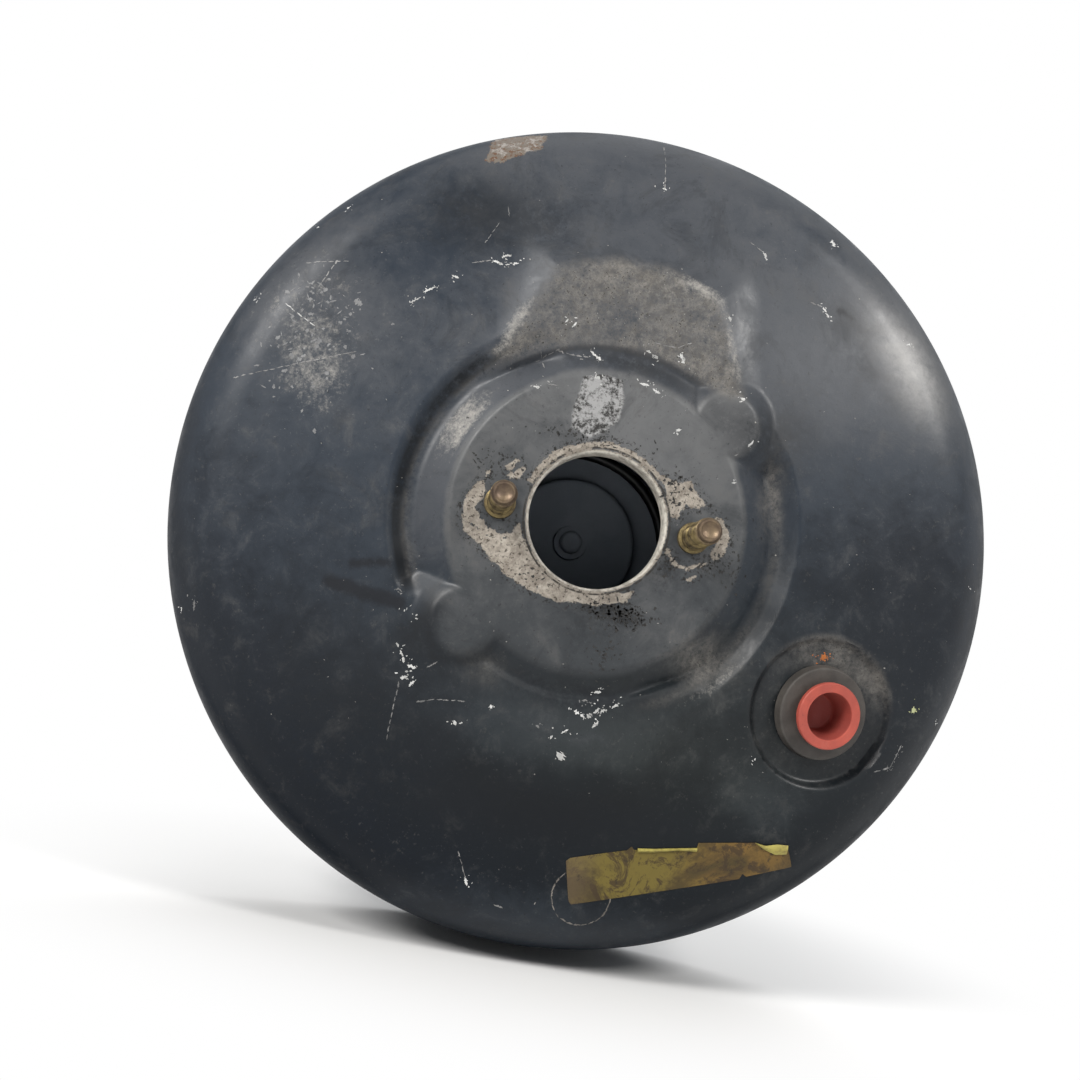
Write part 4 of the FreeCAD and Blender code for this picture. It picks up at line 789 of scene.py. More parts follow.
class Graph:
    """Short names for the nodes of one material or world, and the colour laid down so far."""

    def __init__(self, owner):
        self.owner = owner
        owner.use_nodes = True
        self.tree = owner.node_tree
        self.shader = self.tree.nodes.get("Principled BSDF")
        self.place = self.add("ShaderNodeTexCoord").outputs["Object"]
        self.colour = None

    def add(self, kind, **values):
        made = self.tree.nodes.new(kind)
        for key, value in values.items():
            setattr(made, key, value)
        return made

    def feed(self, socket, value):
        """Links a socket to another, or sets it to a number or a colour."""
        if isinstance(value, bpy.types.NodeSocket):
            self.tree.links.new(value, socket)
        elif isinstance(value, tuple) and len(value) < len(socket.default_value):
            socket.default_value = (*value, 1.0)
        else:
            socket.default_value = value

    def fill(self, made, *values):
        """Feeds a node's first inputs and gives its first output."""
        for socket, value in zip(made.inputs, values):
            self.feed(socket, value)
        return made.outputs[0]

    def math(self, operation, *values, clamp=False):
        return self.fill(self.add("ShaderNodeMath", operation=operation, use_clamp=clamp), *values)

    def plus(self, a, b):
        return self.math("ADD", a, b)

    def less(self, a, b):
        return self.math("SUBTRACT", a, b)

    def times(self, a, b, clamp=False):
        return self.math("MULTIPLY", a, b, clamp=clamp)

    def axis(self, index):
        """The place along one axis, in metres."""
        made = self.add("ShaderNodeSeparateXYZ")
        self.feed(made.inputs[0], self.place)
        return made.outputs[index]

    def noise(self, scale, detail=4.0, rough=0.6, stretch=None, warp=0.0):
        made = self.add("ShaderNodeTexNoise")
        place = self.place
        if stretch:
            mapping = self.add("ShaderNodeMapping")
            mapping.inputs["Scale"].default_value = stretch
            self.feed(mapping.inputs["Vector"], place)
            place = mapping.outputs[0]
        values = {"Vector": place, "Scale": scale, "Detail": detail, "Roughness": rough, "Distortion": warp}
        for name, value in values.items():
            self.feed(made.inputs[name], value)
        return made.outputs["Fac"]

    def ramp(self, value, low, high, start=0.0, end=1.0):
        made = self.add("ShaderNodeMapRange", interpolation_type="SMOOTHSTEP")
        return self.fill(made, value, low, high, start, end)

    def field(self, name):
        return self.add("ShaderNodeAttribute", attribute_name=name).outputs["Fac"]

    def mix(self, share, under, over):
        """A mix of two colours."""
        made = self.add("ShaderNodeMix", data_type="RGBA")
        for index, value in ((0, share), (6, under), (7, over)):
            self.feed(made.inputs[index], value)
        return made.outputs[2]

    def blend(self, share, under, over):
        """A mix of two numbers."""
        made = self.add("ShaderNodeMix", data_type="FLOAT")
        for index, value in ((0, share), (2, under), (3, over)):
            self.feed(made.inputs[index], value)
        return made.outputs[0]

    def cover(self, share, tint):
        """Lays a colour over the one so far."""
        self.colour = self.mix(share, self.colour, tint)

    def stain(self, value, low, high, amount, tint):
        """Lays a colour where a value goes past low, in full at high."""
        self.cover(self.ramp(value, low, high, 0.0, amount), tint)

    def bump(self, height, strength, distance):
        made = self.add("ShaderNodeBump")
        for name, value in {"Strength": strength, "Distance": distance, "Height": height}.items():
            self.feed(made.inputs[name], value)
        self.feed(self.shader.inputs["Normal"], made.outputs[0])

    def done(self, **values):
        """Feeds the colour and other values to the shader and gives the material."""
        for key, value in {"base_color": self.colour, **values}.items():
            self.feed(self.shader.inputs[key.replace("_", " ").title().replace("Ior", "IOR")], value)
        return self.owner


def new_graph(name):
    return Graph(bpy.data.materials.new(name))


SHEEN = 0.3
DULL_SHEEN = 0.04
WALL_SHEEN = 0.05
TONES = [(0.005, 0.008, 0.0135), (0.017, 0.024, 0.035), (0.052, 0.057, 0.066)]
GREEN_TONES = [(0.006, 0.0085, 0.0095), (0.023, 0.0275, 0.0285)]
# The hub face's paler tones are painted light on the flat face
LIT_HUB_TONES = [(0.034, 0.038, 0.042), (0.122, 0.124, 0.127)]
PLAIN_TONES = [(0.009, 0.013, 0.019), (0.026, 0.031, 0.04)]
PAINT_BUMP = 0.00022
FINE_BUMP = 0.0002


def plain_paint():
    """Dark blue-grey paint with faint flecks."""
    g = new_graph("shell_paint")
    broad = g.noise(13, 5, 0.62)
    fine = g.noise(95, 6, 0.72, warp=0.4)
    flake = g.noise(300, 5, 0.8)
    g.colour = g.mix(g.ramp(broad, 0.35, 0.68), *PLAIN_TONES)
    g.stain(flake, 0.6, 0.75, 0.3, (0.09, 0.088, 0.085))
    g.bump(g.times(flake, 0.35), 0.5, FINE_BUMP)
    return g.done(roughness=g.blend(g.ramp(fine, 0.3, 0.7), 0.3, 0.5), specular_ior_level=SHEEN)


def marked_paint():
    """The same paint on the front pressing, worn, stained, dirty and chipped where the fields say, with
    painted light, shade and highlights.
    """
    g = new_graph("wear_and_highlight_paint")
    broad = g.noise(13, 5, 0.62)
    fine = g.noise(95, 6, 0.72, warp=0.4)
    flake = g.noise(300, 5, 0.8)
    grit = g.noise(800, 3, 0.8)
    stain = g.noise(34, 7, 0.75, warp=1.2)
    ragged = g.times(g.less(flake, 0.5), 4.6)
    grain = g.plus(g.times(grit, 0.35), g.plus(g.times(flake, 0.35), g.times(fine, 0.3)))
    rough = g.blend(g.ramp(fine, 0.3, 0.7), 0.3, 0.5)
    toned_paint(g, broad, fine, flake, grit, stain)
    rough = soiled_paint(g, broad, fine, flake, grit, stain, grain, rough)
    bare = bare_steel(g, flake, grit, ragged)
    rough = g.blend(bare, rough, 0.66)
    rust = g.ramp(g.plus(g.field("rust"), g.times(ragged, 1.4)), 0.3, -0.3)
    brown = g.mix(g.ramp(grit, 0.5, 0.62), (0.14, 0.12, 0.10), (0.10, 0.045, 0.02))
    g.cover(rust, g.mix(g.ramp(flake, 0.5, 0.6), brown, (0.29, 0.27, 0.25)))
    crust = g.ramp(g.plus(g.field("crust"), g.times(ragged, 0.7)), 0.4, -0.6)
    g.cover(crust, g.mix(g.ramp(grain, 0.43, 0.54), (0.03, 0.029, 0.028), (0.31, 0.31, 0.31)))
    rough = g.blend(crust, rough, 0.8)
    # Painted highlight: a pale patch on the shoulder's upper right
    g.cover(g.times(g.field("pale"), g.ramp(g.plus(fine, flake), 0.6, 1.3, 0.45, 1.0)), (0.46, 0.45, 0.44))
    height = g.plus(g.times(flake, 0.35), g.times(bare, -0.8))
    height = g.plus(height, g.times(crust, g.times(grain, 4.0)))
    g.bump(height, 0.55, PAINT_BUMP)
    return g.done(roughness=rough, specular_ior_level=g.field("sheen"))


def toned_paint(g, broad, fine, flake, grit, stain):
    """The paint's tones with painted light and shade, a paler hub face, cloudy patches, pale flecks, dark
    stains, grime and painted shade.
    """
    # Painted light and shade: paler towards the top and on the hub's upper-left slope, darker towards the
    # bottom
    cloud = g.plus(g.field("tone_and_light"), g.times(g.less(g.plus(broad, fine), 1.0), 0.75))
    middle = g.mix(g.field("green"), TONES[1], GREEN_TONES[1])
    g.colour = g.mix(g.ramp(cloud, 0.0, 0.55), g.mix(g.field("green"), TONES[0], GREEN_TONES[0]), middle)
    g.stain(cloud, 0.5, 1.0, 1.0, TONES[2])
    # Painted light: the flat hub face is paler
    g.cover(g.field("hub"), g.mix(g.ramp(cloud, 0.2, 0.95), *LIT_HUB_TONES))
    g.stain(fine, 0.52, 0.75, 0.35, (0.075, 0.073, 0.070))
    g.stain(flake, 0.6, 0.7, 0.3, (0.10, 0.095, 0.088))
    g.stain(grit, 0.62, 0.72, 0.22, (0.15, 0.145, 0.14))
    g.stain(grit, 0.38, 0.3, 0.5, (0.006, 0.006, 0.007))
    g.stain(stain, 0.5, 0.64, 0.6, g.mix(0.5, g.colour, (0.004, 0.006, 0.009)))
    # Painted shade and grime, darker, where the dark field says
    g.cover(g.times(g.field("dark"), g.ramp(g.plus(broad, flake), 0.7, 1.05)), (0.007, 0.009, 0.012))


def soiled_paint(g, broad, fine, flake, grit, stain, grain, rough):
    """Dirt with dark pits, rubbed places with painted highlights, and black smears. Gives the roughness."""
    patchy = g.ramp(g.plus(stain, broad), 0.75, 1.2, 0.5, 1.15)
    dirt = g.times(g.times(g.field("dirt"), g.ramp(g.plus(fine, grit), 0.6, 1.2)), patchy, clamp=True)
    g.cover(dirt, g.mix(g.ramp(flake, 0.35, 0.65), (0.10, 0.093, 0.084), (0.20, 0.187, 0.17)))
    g.cover(g.times(g.field("dirt"), g.ramp(grit, 0.6, 0.66)), (0.014, 0.013, 0.012))
    wear_and_highlight = g.ramp(g.plus(g.field("wear_and_highlight"), g.times(g.less(grain, 0.5), 2.6)), 0.35, 1.15)
    # Rubbed paint and painted highlights, paler, where their field says
    g.cover(wear_and_highlight, (0.33, 0.315, 0.29))
    smear = g.plus(g.field("smears"), g.times(g.less(flake, 0.5), 5.0))
    g.stain(smear, 1.2, -1.2, 0.85, (0.005, 0.006, 0.009))
    return g.blend(wear_and_highlight, g.blend(dirt, rough, 0.8), 0.45)


def bare_steel(g, flake, grit, ragged):
    """Bare tan steel with a grimy edge, and the bore's polished lip with a painted shadow line just outside
    it. Gives where it is bare.
    """
    g.cover(g.times(g.ramp(g.field("bare"), 2.8, 0.8), g.ramp(grit, 0.54, 0.6)), (0.01, 0.009, 0.008))
    edge = g.math("MINIMUM", g.plus(g.field("bare"), ragged), g.plus(g.field("lip"), g.times(ragged, 0.4)))
    bare = g.ramp(edge, 0.12, -0.12)
    tan = g.mix(g.ramp(flake, 0.35, 0.7), (0.20, 0.174, 0.145), (0.41, 0.372, 0.32))
    g.cover(bare, g.mix(g.ramp(grit, 0.55, 0.64), tan, (0.05, 0.04, 0.032)))
    # Painted shadow: a thin dark line just outside the polished lip
    gap_shadow = g.ramp(g.math("ABSOLUTE", g.less(g.field("lip"), 0.5)), 0.4, 0.15)
    g.cover(g.times(gap_shadow, g.ramp(flake, 0.42, 0.52)), (0.03, 0.026, 0.022))
    polish = g.mix(g.ramp(flake, 0.35, 0.6), (0.26, 0.24, 0.21), (0.56, 0.53, 0.47))
    g.cover(g.ramp(g.field("lip"), -0.3, -0.6), polish)
    return bare


def finish(name, low, high, scale, rough, metallic=0.0, bump=0.2, fleck=None, specular=0.5):
    """A plain finish: two tones in patches, fine grain, and a fleck colour where one is given."""
    g = new_graph(name)
    broad = g.noise(scale, 5, 0.65)
    grain = g.noise(scale * 14, 4, 0.7)
    g.colour = g.mix(g.ramp(broad, 0.34, 0.68), low, high)
    if fleck:
        g.stain(grain, 0.6, 0.72, 0.7, fleck)
    g.bump(grain, bump, FINE_BUMP)
    return g.done(roughness=g.blend(broad, *rough), metallic=metallic, specular_ior_level=specular)


# Plain finishes of the record's slots: two tones, patches a metre, roughness, metal, bump, fleck, specular

FINISHES = {
    "bare_steel": ((0.2, 0.2, 0.2), (0.36, 0.36, 0.35), 30, (0.35, 0.55), 0.9),
    "dark_steel": ((0.008, 0.010, 0.012), (0.018, 0.020, 0.023), 40, (0.5, 0.65), 0.0, 0.2, None, 0.2),
    "yellow_zinc": ((0.17, 0.128, 0.06), (0.31, 0.25, 0.135), 90, (0.38, 0.58), 0.8, 0.2,
                    (0.12, 0.075, 0.035)),
    "black_rubber": ((0.02, 0.02, 0.021), (0.045, 0.043, 0.04), 60, (0.55, 0.8), 0.0, 0.3,
                     (0.08, 0.075, 0.065)),
    "red_plastic": ((0.52, 0.062, 0.032), (0.62, 0.085, 0.045), 50, (0.32, 0.5), 0.0, 0.15),
    "pale_plastic": ((0.5, 0.47, 0.4), (0.6, 0.58, 0.52), 50, (0.4, 0.55)),
    "valve_moulding": ((0.016, 0.016, 0.017), (0.03, 0.03, 0.031), 40, (0.45, 0.6)),
    "spring_steel": ((0.05, 0.05, 0.052), (0.1, 0.1, 0.1), 60, (0.35, 0.5), 0.8),
    "felt": ((0.2, 0.19, 0.17), (0.3, 0.29, 0.26), 300, (0.9, 1.0), 0.0, 0.8),
    "foam": ((0.03, 0.03, 0.032), (0.06, 0.06, 0.06), 400, (0.9, 1.0), 0.0, 1.0),
}
# Pale bluish tones for parts deep in the bore: painted light
INSIDE_LIGHT_TONES = [(0.33, 0.38, 0.45), (0.42, 0.47, 0.54)]


def valve_finish():
    """Black moulding that turns pale bluish towards its front: painted light where it shows in the bore."""
    g = new_graph("valve_body")
    broad = g.noise(40, 5, 0.65)
    patches = g.ramp(broad, 0.34, 0.68)
    # Painted light: paler towards the front
    film = g.ramp(g.axis(1), 0.004, -0.012)
    dark = g.mix(patches, (0.018, 0.018, 0.019), (0.034, 0.034, 0.035))
    g.colour = g.mix(film, dark, g.mix(patches, *INSIDE_LIGHT_TONES))
    g.bump(g.noise(560, 4, 0.7), 0.2, FINE_BUMP)
    return g.done(roughness=g.blend(broad, 0.5, 0.7))


def stud_finish():
    """Yellow zinc worn to brown, with a rusty tip and dirt in the thread."""
    g = new_graph("stud_zinc")
    broad = g.noise(170, 5, 0.7)
    grain = g.noise(900, 4, 0.7)
    g.colour = g.mix(g.ramp(broad, 0.36, 0.66), (0.05, 0.037, 0.022), (0.21, 0.16, 0.07))
    g.stain(grain, 0.55, 0.75, 0.75, (0.06, 0.04, 0.026))
    tip = g.ramp(g.axis(1), (FACE - STUD_LENGTH + 5) * MM, (FACE - STUD_LENGTH + 0.6) * MM)
    g.cover(g.times(tip, 0.6), g.mix(broad, (0.08, 0.052, 0.038), (0.25, 0.18, 0.14)))
    g.bump(grain, 0.5, FINE_BUMP)
    return g.done(roughness=g.blend(grain, 0.28, 0.6), metallic=0.75)


def port_finish(name, low, high, film, hollow=None):
    """Rubber or plastic with a dusty film in patches, and painted shade in its hollow where a shade colour is
    given.
    """
    g = new_graph(name)
    streak = g.noise(120, 6, 0.75, stretch=(1.0, 1.0, 0.35), warp=0.8)
    g.colour = g.mix(g.ramp(g.noise(60, 5, 0.65), 0.35, 0.65), low, high)
    g.stain(streak, 0.52, 0.74, 0.5, film)
    g.stain(g.noise(500, 4, 0.8), 0.62, 0.72, 0.6, (0.03, 0.024, 0.02))
    if hollow:
        # Painted shade on the hollow's inner walls
        g.cover(g.times(g.field("inner"), 0.55), hollow)
    g.bump(g.noise(420, 4, 0.7), 0.35, FINE_BUMP)
    return g.done(roughness=g.ramp(streak, 0.3, 0.7, 0.42, 0.75), specular_ior_level=0.4)


def label_front():
    """Stained yellow paper, browner at its ends."""
    g = new_graph("label_paper")
    broad = g.noise(55, 6, 0.7, warp=0.6)
    fine = g.noise(300, 6, 0.75)
    g.colour = g.mix(g.ramp(broad, 0.42, 0.58), (0.058, 0.041, 0.013), (0.145, 0.11, 0.023))
    right = g.times(g.ramp(g.axis(0), 0.038, 0.062), g.ramp(broad, 0.3, 0.6))
    g.cover(g.times(right, 0.8), (0.16, 0.085, 0.022))
    g.stain(g.noise(90, 6, 0.8, warp=0.8), 0.5, 0.57, 0.85, (0.042, 0.026, 0.012))
    g.stain(g.axis(0), 0.022, 0.012, 0.5, (0.12, 0.085, 0.05))
    g.stain(fine, 0.58, 0.66, 0.6, (0.022, 0.017, 0.012))
    g.bump(fine, 0.35, FINE_BUMP)
    return g.done(roughness=g.blend(broad, 0.4, 0.65), specular_ior_level=0.3)


def label_back():
    """The paper's paler back."""
    g = new_graph("label_back")
    g.colour = g.mix(g.ramp(g.noise(300, 6, 0.75), 0.4, 0.7), (0.36, 0.31, 0.07), (0.16, 0.12, 0.035))
    return g.done(roughness=0.6)


def dress(item, material):
    """Gives a piece one material."""
    item.data.materials.clear()
    item.data.materials.append(material)
    return item


# Studs, port and label

THREAD_SIDES = 48
COARSE_PITCH = 1.25
ROD_PITCH = 1.5
SEAT_GAP = 0.15
WALL_STUDS = [(i * 40, k * 33) for i in (-1, 1) for k in (-1, 1)]
PLUG_FRONT = -8.4
PLUG_HOLLOW = 10.5


def threaded(name, rings, pitch, depth, body, places=((0, 0),), way=1, face=0.0):
    """Turned pieces along Y with a rolled thread where a ring (radius, distance, share) asks for it."""
    angle = np.linspace(0, 2 * math.pi, THREAD_SIDES, endpoint=False)
    full = []
    for (r0, s0, share0), (r1, s1, share1) in zip(rings, rings[1:]):
        steps = max(1, int(abs(s1 - s0) / pitch * 8)) if share0 or share1 else 1
        for t in np.arange(steps) / steps:
            full.append((r0 + (r1 - r0) * t, s0 + (s1 - s0) * t, share0 + (share1 - share0) * t))
    full.append(rings[-1])
    points, faces = [], []
    for x, z in places:
        faces.append(grid_faces(len(full), len(angle), False) + len(points))
        for radius, s, share in full:
            turn = (s / pitch - angle / (2 * math.pi)) % 1.0
            r = np.maximum(radius - unit(1.25 - 2.6 * np.abs(turn - 0.5)) * depth * share, 0)
            ring = [x + r * np.cos(angle), face + way * s + 0 * angle, z + r * np.sin(angle)]
            points += list(np.stack(ring, -1))
    return mesh_object(name, np.array(points), np.concatenate(faces), body, 45)


def stud_rings(back, head, length, collar):
    """Rings of a pressed-in stud: head, shoulder, small collar, thread and dished tip."""
    shoulder = STUD_HOLE - SEAT_GAP
    rings = [(0, -back - 4, 0), (head, -back - 4, 0), (head, -back, 0), (shoulder, -back, 0)]
    if collar:
        rings += [(shoulder, 0.1, 0), (STUD_RADIUS + 0.9, 0.15, 0), (STUD_RADIUS + 0.8, 1.4, 0)]
    else:
        rings += [(shoulder, 0, 0)]
    rings += [(STUD_RADIUS - 0.5, 1.8, 0), (STUD_RADIUS, 2.6, 0), (STUD_RADIUS, 4.2, 1),
              (STUD_RADIUS, length - 2.4, 1), (STUD_RADIUS - 0.3, length - 1.4, 0.4),
              (STUD_RADIUS - 0.55, length - 0.5, 0), (STUD_RADIUS - 1.0, length, 0), (2.6, length, 0),
              (2.0, length - 0.6, 0), (0.0, length - 0.9, 0)]
    return rings


ROD_RINGS = [
    (0, 4.41, 0), (2.2, 4.95, 0), (3.6, 6.1, 0), (4.4, 7.7, 0), (4.6, 9.0, 0), (4.4, 10.3, 0), (3.6, 11.9, 0),
    (3.0, 12.5, 0), (3.0, 17.0, 0), (5.0, 20.0, 0), (5.0, 43.7, 0), (6.5, 43.7, 0), (6.5, 46.1, 0),
    (5.0, 46.1, 0), (5.0, 82.0, 0), (5.0, 84.0, 1), (5.0, 121.0, 1), (4.2, 122.6, 0), (4.0, 123.0, 0),
    (0, 123.0, 0),
]


def studs_and_rod():
    """The front and rear studs and the pedal rod."""
    hub_studs = threaded("hub_studs", stud_rings(4.5, 6.5, STUD_LENGTH, True), COARSE_PITCH, 0.6, SHELL,
                         ((-STUD_X, 0), (STUD_X, 0)), -1, FACE)
    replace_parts(dress(hub_studs, stud_finish()), "master_cylinder_studs")
    rings = stud_rings(5.0, 7.0, 28.0, False)
    wall_studs = threaded("wall_studs", rings, COARSE_PITCH, 0.6, SHELL, WALL_STUDS)
    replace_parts(dress(wall_studs, slots["yellow_zinc"]), "bulkhead_studs")
    pedal_rod = threaded("threaded_rod", ROD_RINGS, ROD_PITCH, 0.55, "input_rod")
    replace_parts(dress(pedal_rod, slots["yellow_zinc"]), "pedal_rod")


def grommet():
    """The rubber grommet: rounded flange with a shallow ring groove, and the part behind the sheet."""
    profile = rounded([
        (7.7, -3.9), (8.2, -4.2, 0.3), (14.0, -4.1, 0.5), (14.5, -3.7, 0.4), (15.0, -0.15, 0.5),
        (11.85, -0.15), (11.85, 2.0), (13.9, 2.1, 0.4), (11.0, 9.0, 0.4), (7.7, 9.0),
    ])
    item = put_on_port(lathe("port_grommet", profile, SHELL, 128))
    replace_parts(item, "check_valve_grommet")
    dress(item, port_finish("old_rubber", (0.035, 0.031, 0.028), (0.07, 0.062, 0.055), (0.1, 0.092, 0.08)))


def transit_plug():
    """The hollow red plug that closes the port."""
    front = PLUG_FRONT
    floor = front + PLUG_HOLLOW
    profile = rounded([
        (0, floor), (5.4, floor, 0.5), (5.9, floor - 0.8, 0.4), (7.3, front + 0.5, 0.3),
        (7.5, front, 0.15), (10.1, front, 0.25), (10.4, front + 0.3, 0.2),
        (10.4, front + 1.9, 0.3), (8.7, front + 2.5, 0.4), (8.5, -4.25, 0.2),
        (7.55, -4.25), (7.55, 3.8, 0.3), (6.5, 5.4, 0.3), (0, 5.4),
    ])
    item = lathe("port_plug", profile, SHELL, 128, closed=False)
    places = np.array([v.co for v in item.data.vertices]) / MM
    # Marks the hollow's inner walls for painted shade
    write_field(item, "inner", (np.hypot(places[:, 0], places[:, 2]) < 7.4) & (places[:, 1] < floor + 0.5))
    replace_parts(put_on_port(item), "transit_plug")
    tones = (0.33, 0.062, 0.045), (0.44, 0.082, 0.055)
    # The last colour is the painted shade inside the plug's hollow
    dress(item, port_finish("red_plug", *tones, (0.40, 0.16, 0.13), (0.17, 0.03, 0.026)))


LABEL_TOP = [
    (9.6, -103.2), (10.6, -102.2), (19.1, -99.5), (27.6, -97.0), (28.7, -95.6), (29.6, -96.6), (49.0, -93.5),
    (49.01, -91.3), (66.8, -88.5), (70.3, -88.9), (77.4, -88.0), (80.5, -94.2),
]
LABEL_BOTTOM = [(9.6, -103.6), (12.6, -115.4), (13.6, -116.3), (38.6, -108.4), (64.2, -100.4), (64.9, -98.6),
                (66.2, -99.4), (80.5, -94.4)]
CURL_TOP = [(30.6, -95.9), (36, -95.2), (43, -93.9), (49.0, -92.9)]
CURL_BOTTOM = [(x, z - 1.1 - 0.3 * math.sin(x * 0.7)) for x, z in CURL_TOP]
FOLD_TOP = [(66.8, -88.4), (70.3, -88.9), (74, -87.9), (77.6, -87.7)]
FOLD_BOTTOM = [(66.8, -88.6), (70.3, -90.2), (74, -91.2), (77.6, -90.6)]
PAPER = 0.13


def sheet(name, top, low, columns, rows, lift):
    """Paper on the shell's front between two edges that run along X, as far off it as lift says."""
    front = np.zeros((rows, columns, 3))
    start, end = top[0][0], top[-1][0]
    for c in range(columns):
        x = start + (end - start) * c / (columns - 1)
        high = np.interp(x, *zip(*top))
        foot = np.interp(x, *zip(*low))
        for k in range(rows):
            t = k / (rows - 1)
            z = high + (foot - high) * t
            off = lift(c / (columns - 1), t, x, z)
            front[k, c] = (x, FACE + float(plain_depth(math.hypot(x, z))) - off, z)
    back = front + np.array([0, PAPER, 0])
    points = np.concatenate([front.reshape(-1, 3), back.reshape(-1, 3)])
    quads = grid_faces(rows, columns, False, False)
    count = rows * columns
    border = list(range(columns)) + [k * columns + columns - 1 for k in range(1, rows)]
    border += [(rows - 1) * columns + c for c in range(columns - 2, -1, -1)]
    border += [k * columns for k in range(rows - 2, 0, -1)]
    sides = [(a, b, b + count, a + count) for a, b in zip(border, border[1:] + border[:1])]
    faces = np.concatenate([quads, quads[:, ::-1] + count, np.array(sides)])
    return mesh_object(name, points, faces, SHELL, 50)


def label_lift(share, t, x, z):
    """Paper that bubbles a little and comes loose along its top edge and at its torn end."""
    loose = 0.5 * max(0.0, share - 0.55) * (1 - t) + 1.6 * max(0.0, share - 0.9)
    return 0.17 + loose + 0.04 * math.sin(x * 0.9) * math.sin(z * 1.1)


def arched(low, rise):
    """The lift of a strip that stands off by low at its edges and arches between them."""
    return lambda share, t, x, z: low + rise * math.sin(math.pi * t)


def label():
    """The torn, blank label, the curl along its tear and the fold at its tip."""
    dress(sheet("blank_label", LABEL_TOP, LABEL_BOTTOM, 200, 20, label_lift), label_front())
    pale = label_back()
    dress(sheet("label_curl", CURL_TOP, CURL_BOTTOM, 50, 8, arched(0.35, 0.7)), pale)
    dress(sheet("label_fold", FOLD_TOP, FOLD_BOTTOM, 40, 8, arched(0.75, 0.5)), pale)


# Rear shell, boot, springs and diaphragm

REAR_PROFILE = [
    (137.2, -40), (137.2, -38, 0.5), (130, -38), (130, -26, 5), (112, -17, 5), (101, -17, 5), (75, 0, 5),
    (30, 0, 3), (30, 22, 0.8), (26.5, 22), (26.5, 20), (28, 20), (28, -2, 2), (75, -2, 5), (101, -19, 5),
    (112, -19, 5), (128, -28, 4), (128, -40),
]
POPPET_PROFILE = [
    (8.2, 8.1), (16.0, 8.1, 0.4), (16.0, 18.1, 0.3), (18.4, 18.1, 0.4), (18.4, 21.6), (14.4, 21.6),
    (14.4, 10.6, 0.6), (8.2, 10.6),
]
DIAPHRAGM_PROFILE = [
    (30.1, -26.3), (118, -26.3, 3), (125.6, -30, 2.5), (125.6, -44.2, 0.8), (137.2, -44.2, 0.5),
    (137.2, -40.1, 0.5), (130.2, -40.1, 0.5), (130.2, -42.4, 0.8), (127.4, -42.4, 0.8), (127.4, -29.4, 3),
    (118.6, -24.5, 3), (35.1, -24.5, 0.5), (35.1, -22.1, 0.3), (30.1, -22.1),
]
BOOT_START = 15.0
BOOT_END = 72.0
BOOT_TAIL = 79.0
BOOT_FOLDS = 5
BOOT_STEPS = 16
BOOT_SKIN = 1.7
FOLD_RADIUS = 38.0
CLOSED_TURNS = 0.8
WIRE_SIDES = 10
COIL_STEPS = 40


def blend(item):
    """Bakes a piece's place into its mesh."""
    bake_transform(item)


def coil(name, node, wire, radii, ends, turns):
    """A spring of round wire about Y, its end turns closed."""
    count = int(turns * COIL_STEPS) + 1
    turn = np.linspace(0, turns, count)
    room = ends[1] - ends[0] - 2 * wire
    closed = 2 * wire * CLOSED_TURNS
    stops = [0, CLOSED_TURNS, turns - CLOSED_TURNS, turns]
    y = ends[0] + wire + np.interp(turn, stops, [0, closed, room - closed, room])
    r = np.interp(turn, [0, turns], radii)
    side = np.linspace(0, 2 * math.pi, WIRE_SIDES, endpoint=False)
    grid = []
    for k, thick in [(0, 0)] + [(k, wire) for k in range(count)] + [(count - 1, 0)]:
        a = turn[k] * 2 * math.pi
        reach = r[k] + thick * np.cos(side)
        grid.append(np.stack([reach * math.cos(a), y[k] + thick * np.sin(side), reach * math.sin(a)], -1))
    faces = grid_faces(len(grid), WIRE_SIDES, False)
    item = mesh_object(name, np.concatenate(grid), faces, None, 60)
    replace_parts(item, node)
    return dress(item, slots["spring_steel"])


def boot():
    """The rubber bellows, its folds rounded."""
    pitch = (BOOT_END - BOOT_START) / BOOT_FOLDS
    outer = [(33.1, 9.0), (33.1, BOOT_START - 1.5)]
    for k in range(BOOT_FOLDS * BOOT_STEPS + 1):
        y = BOOT_START + pitch * k / BOOT_STEPS
        wave = 0.5 - 0.5 * math.cos(2 * math.pi * k / BOOT_STEPS)
        valley = 32.2 if k < 1.5 * BOOT_STEPS else 31.0
        if k > (BOOT_FOLDS - 0.5) * BOOT_STEPS:
            valley = 26.2
        outer.append((valley + (FOLD_RADIUS - valley) * wave ** 0.8, y))
    outer += [(26.2, BOOT_END + 0.5), (26.2, BOOT_TAIL)]
    path = np.array(outer)
    run = np.gradient(path, axis=0)
    run /= np.linalg.norm(run, axis=1)[:, None]
    inner = path - np.stack([run[:, 1], -run[:, 0]], -1) * BOOT_SKIN
    for end, radius in ((slice(2), 30.1), (slice(-2, None), 24.1)):
        inner[end, 0] = radius
        inner[end, 1] = path[end, 1]
    item = lathe("bellows", np.concatenate([path, inner[::-1]]), None, 96)
    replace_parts(item, "dust_boot")
    blend(item)
    dress(item, slots["black_rubber"])


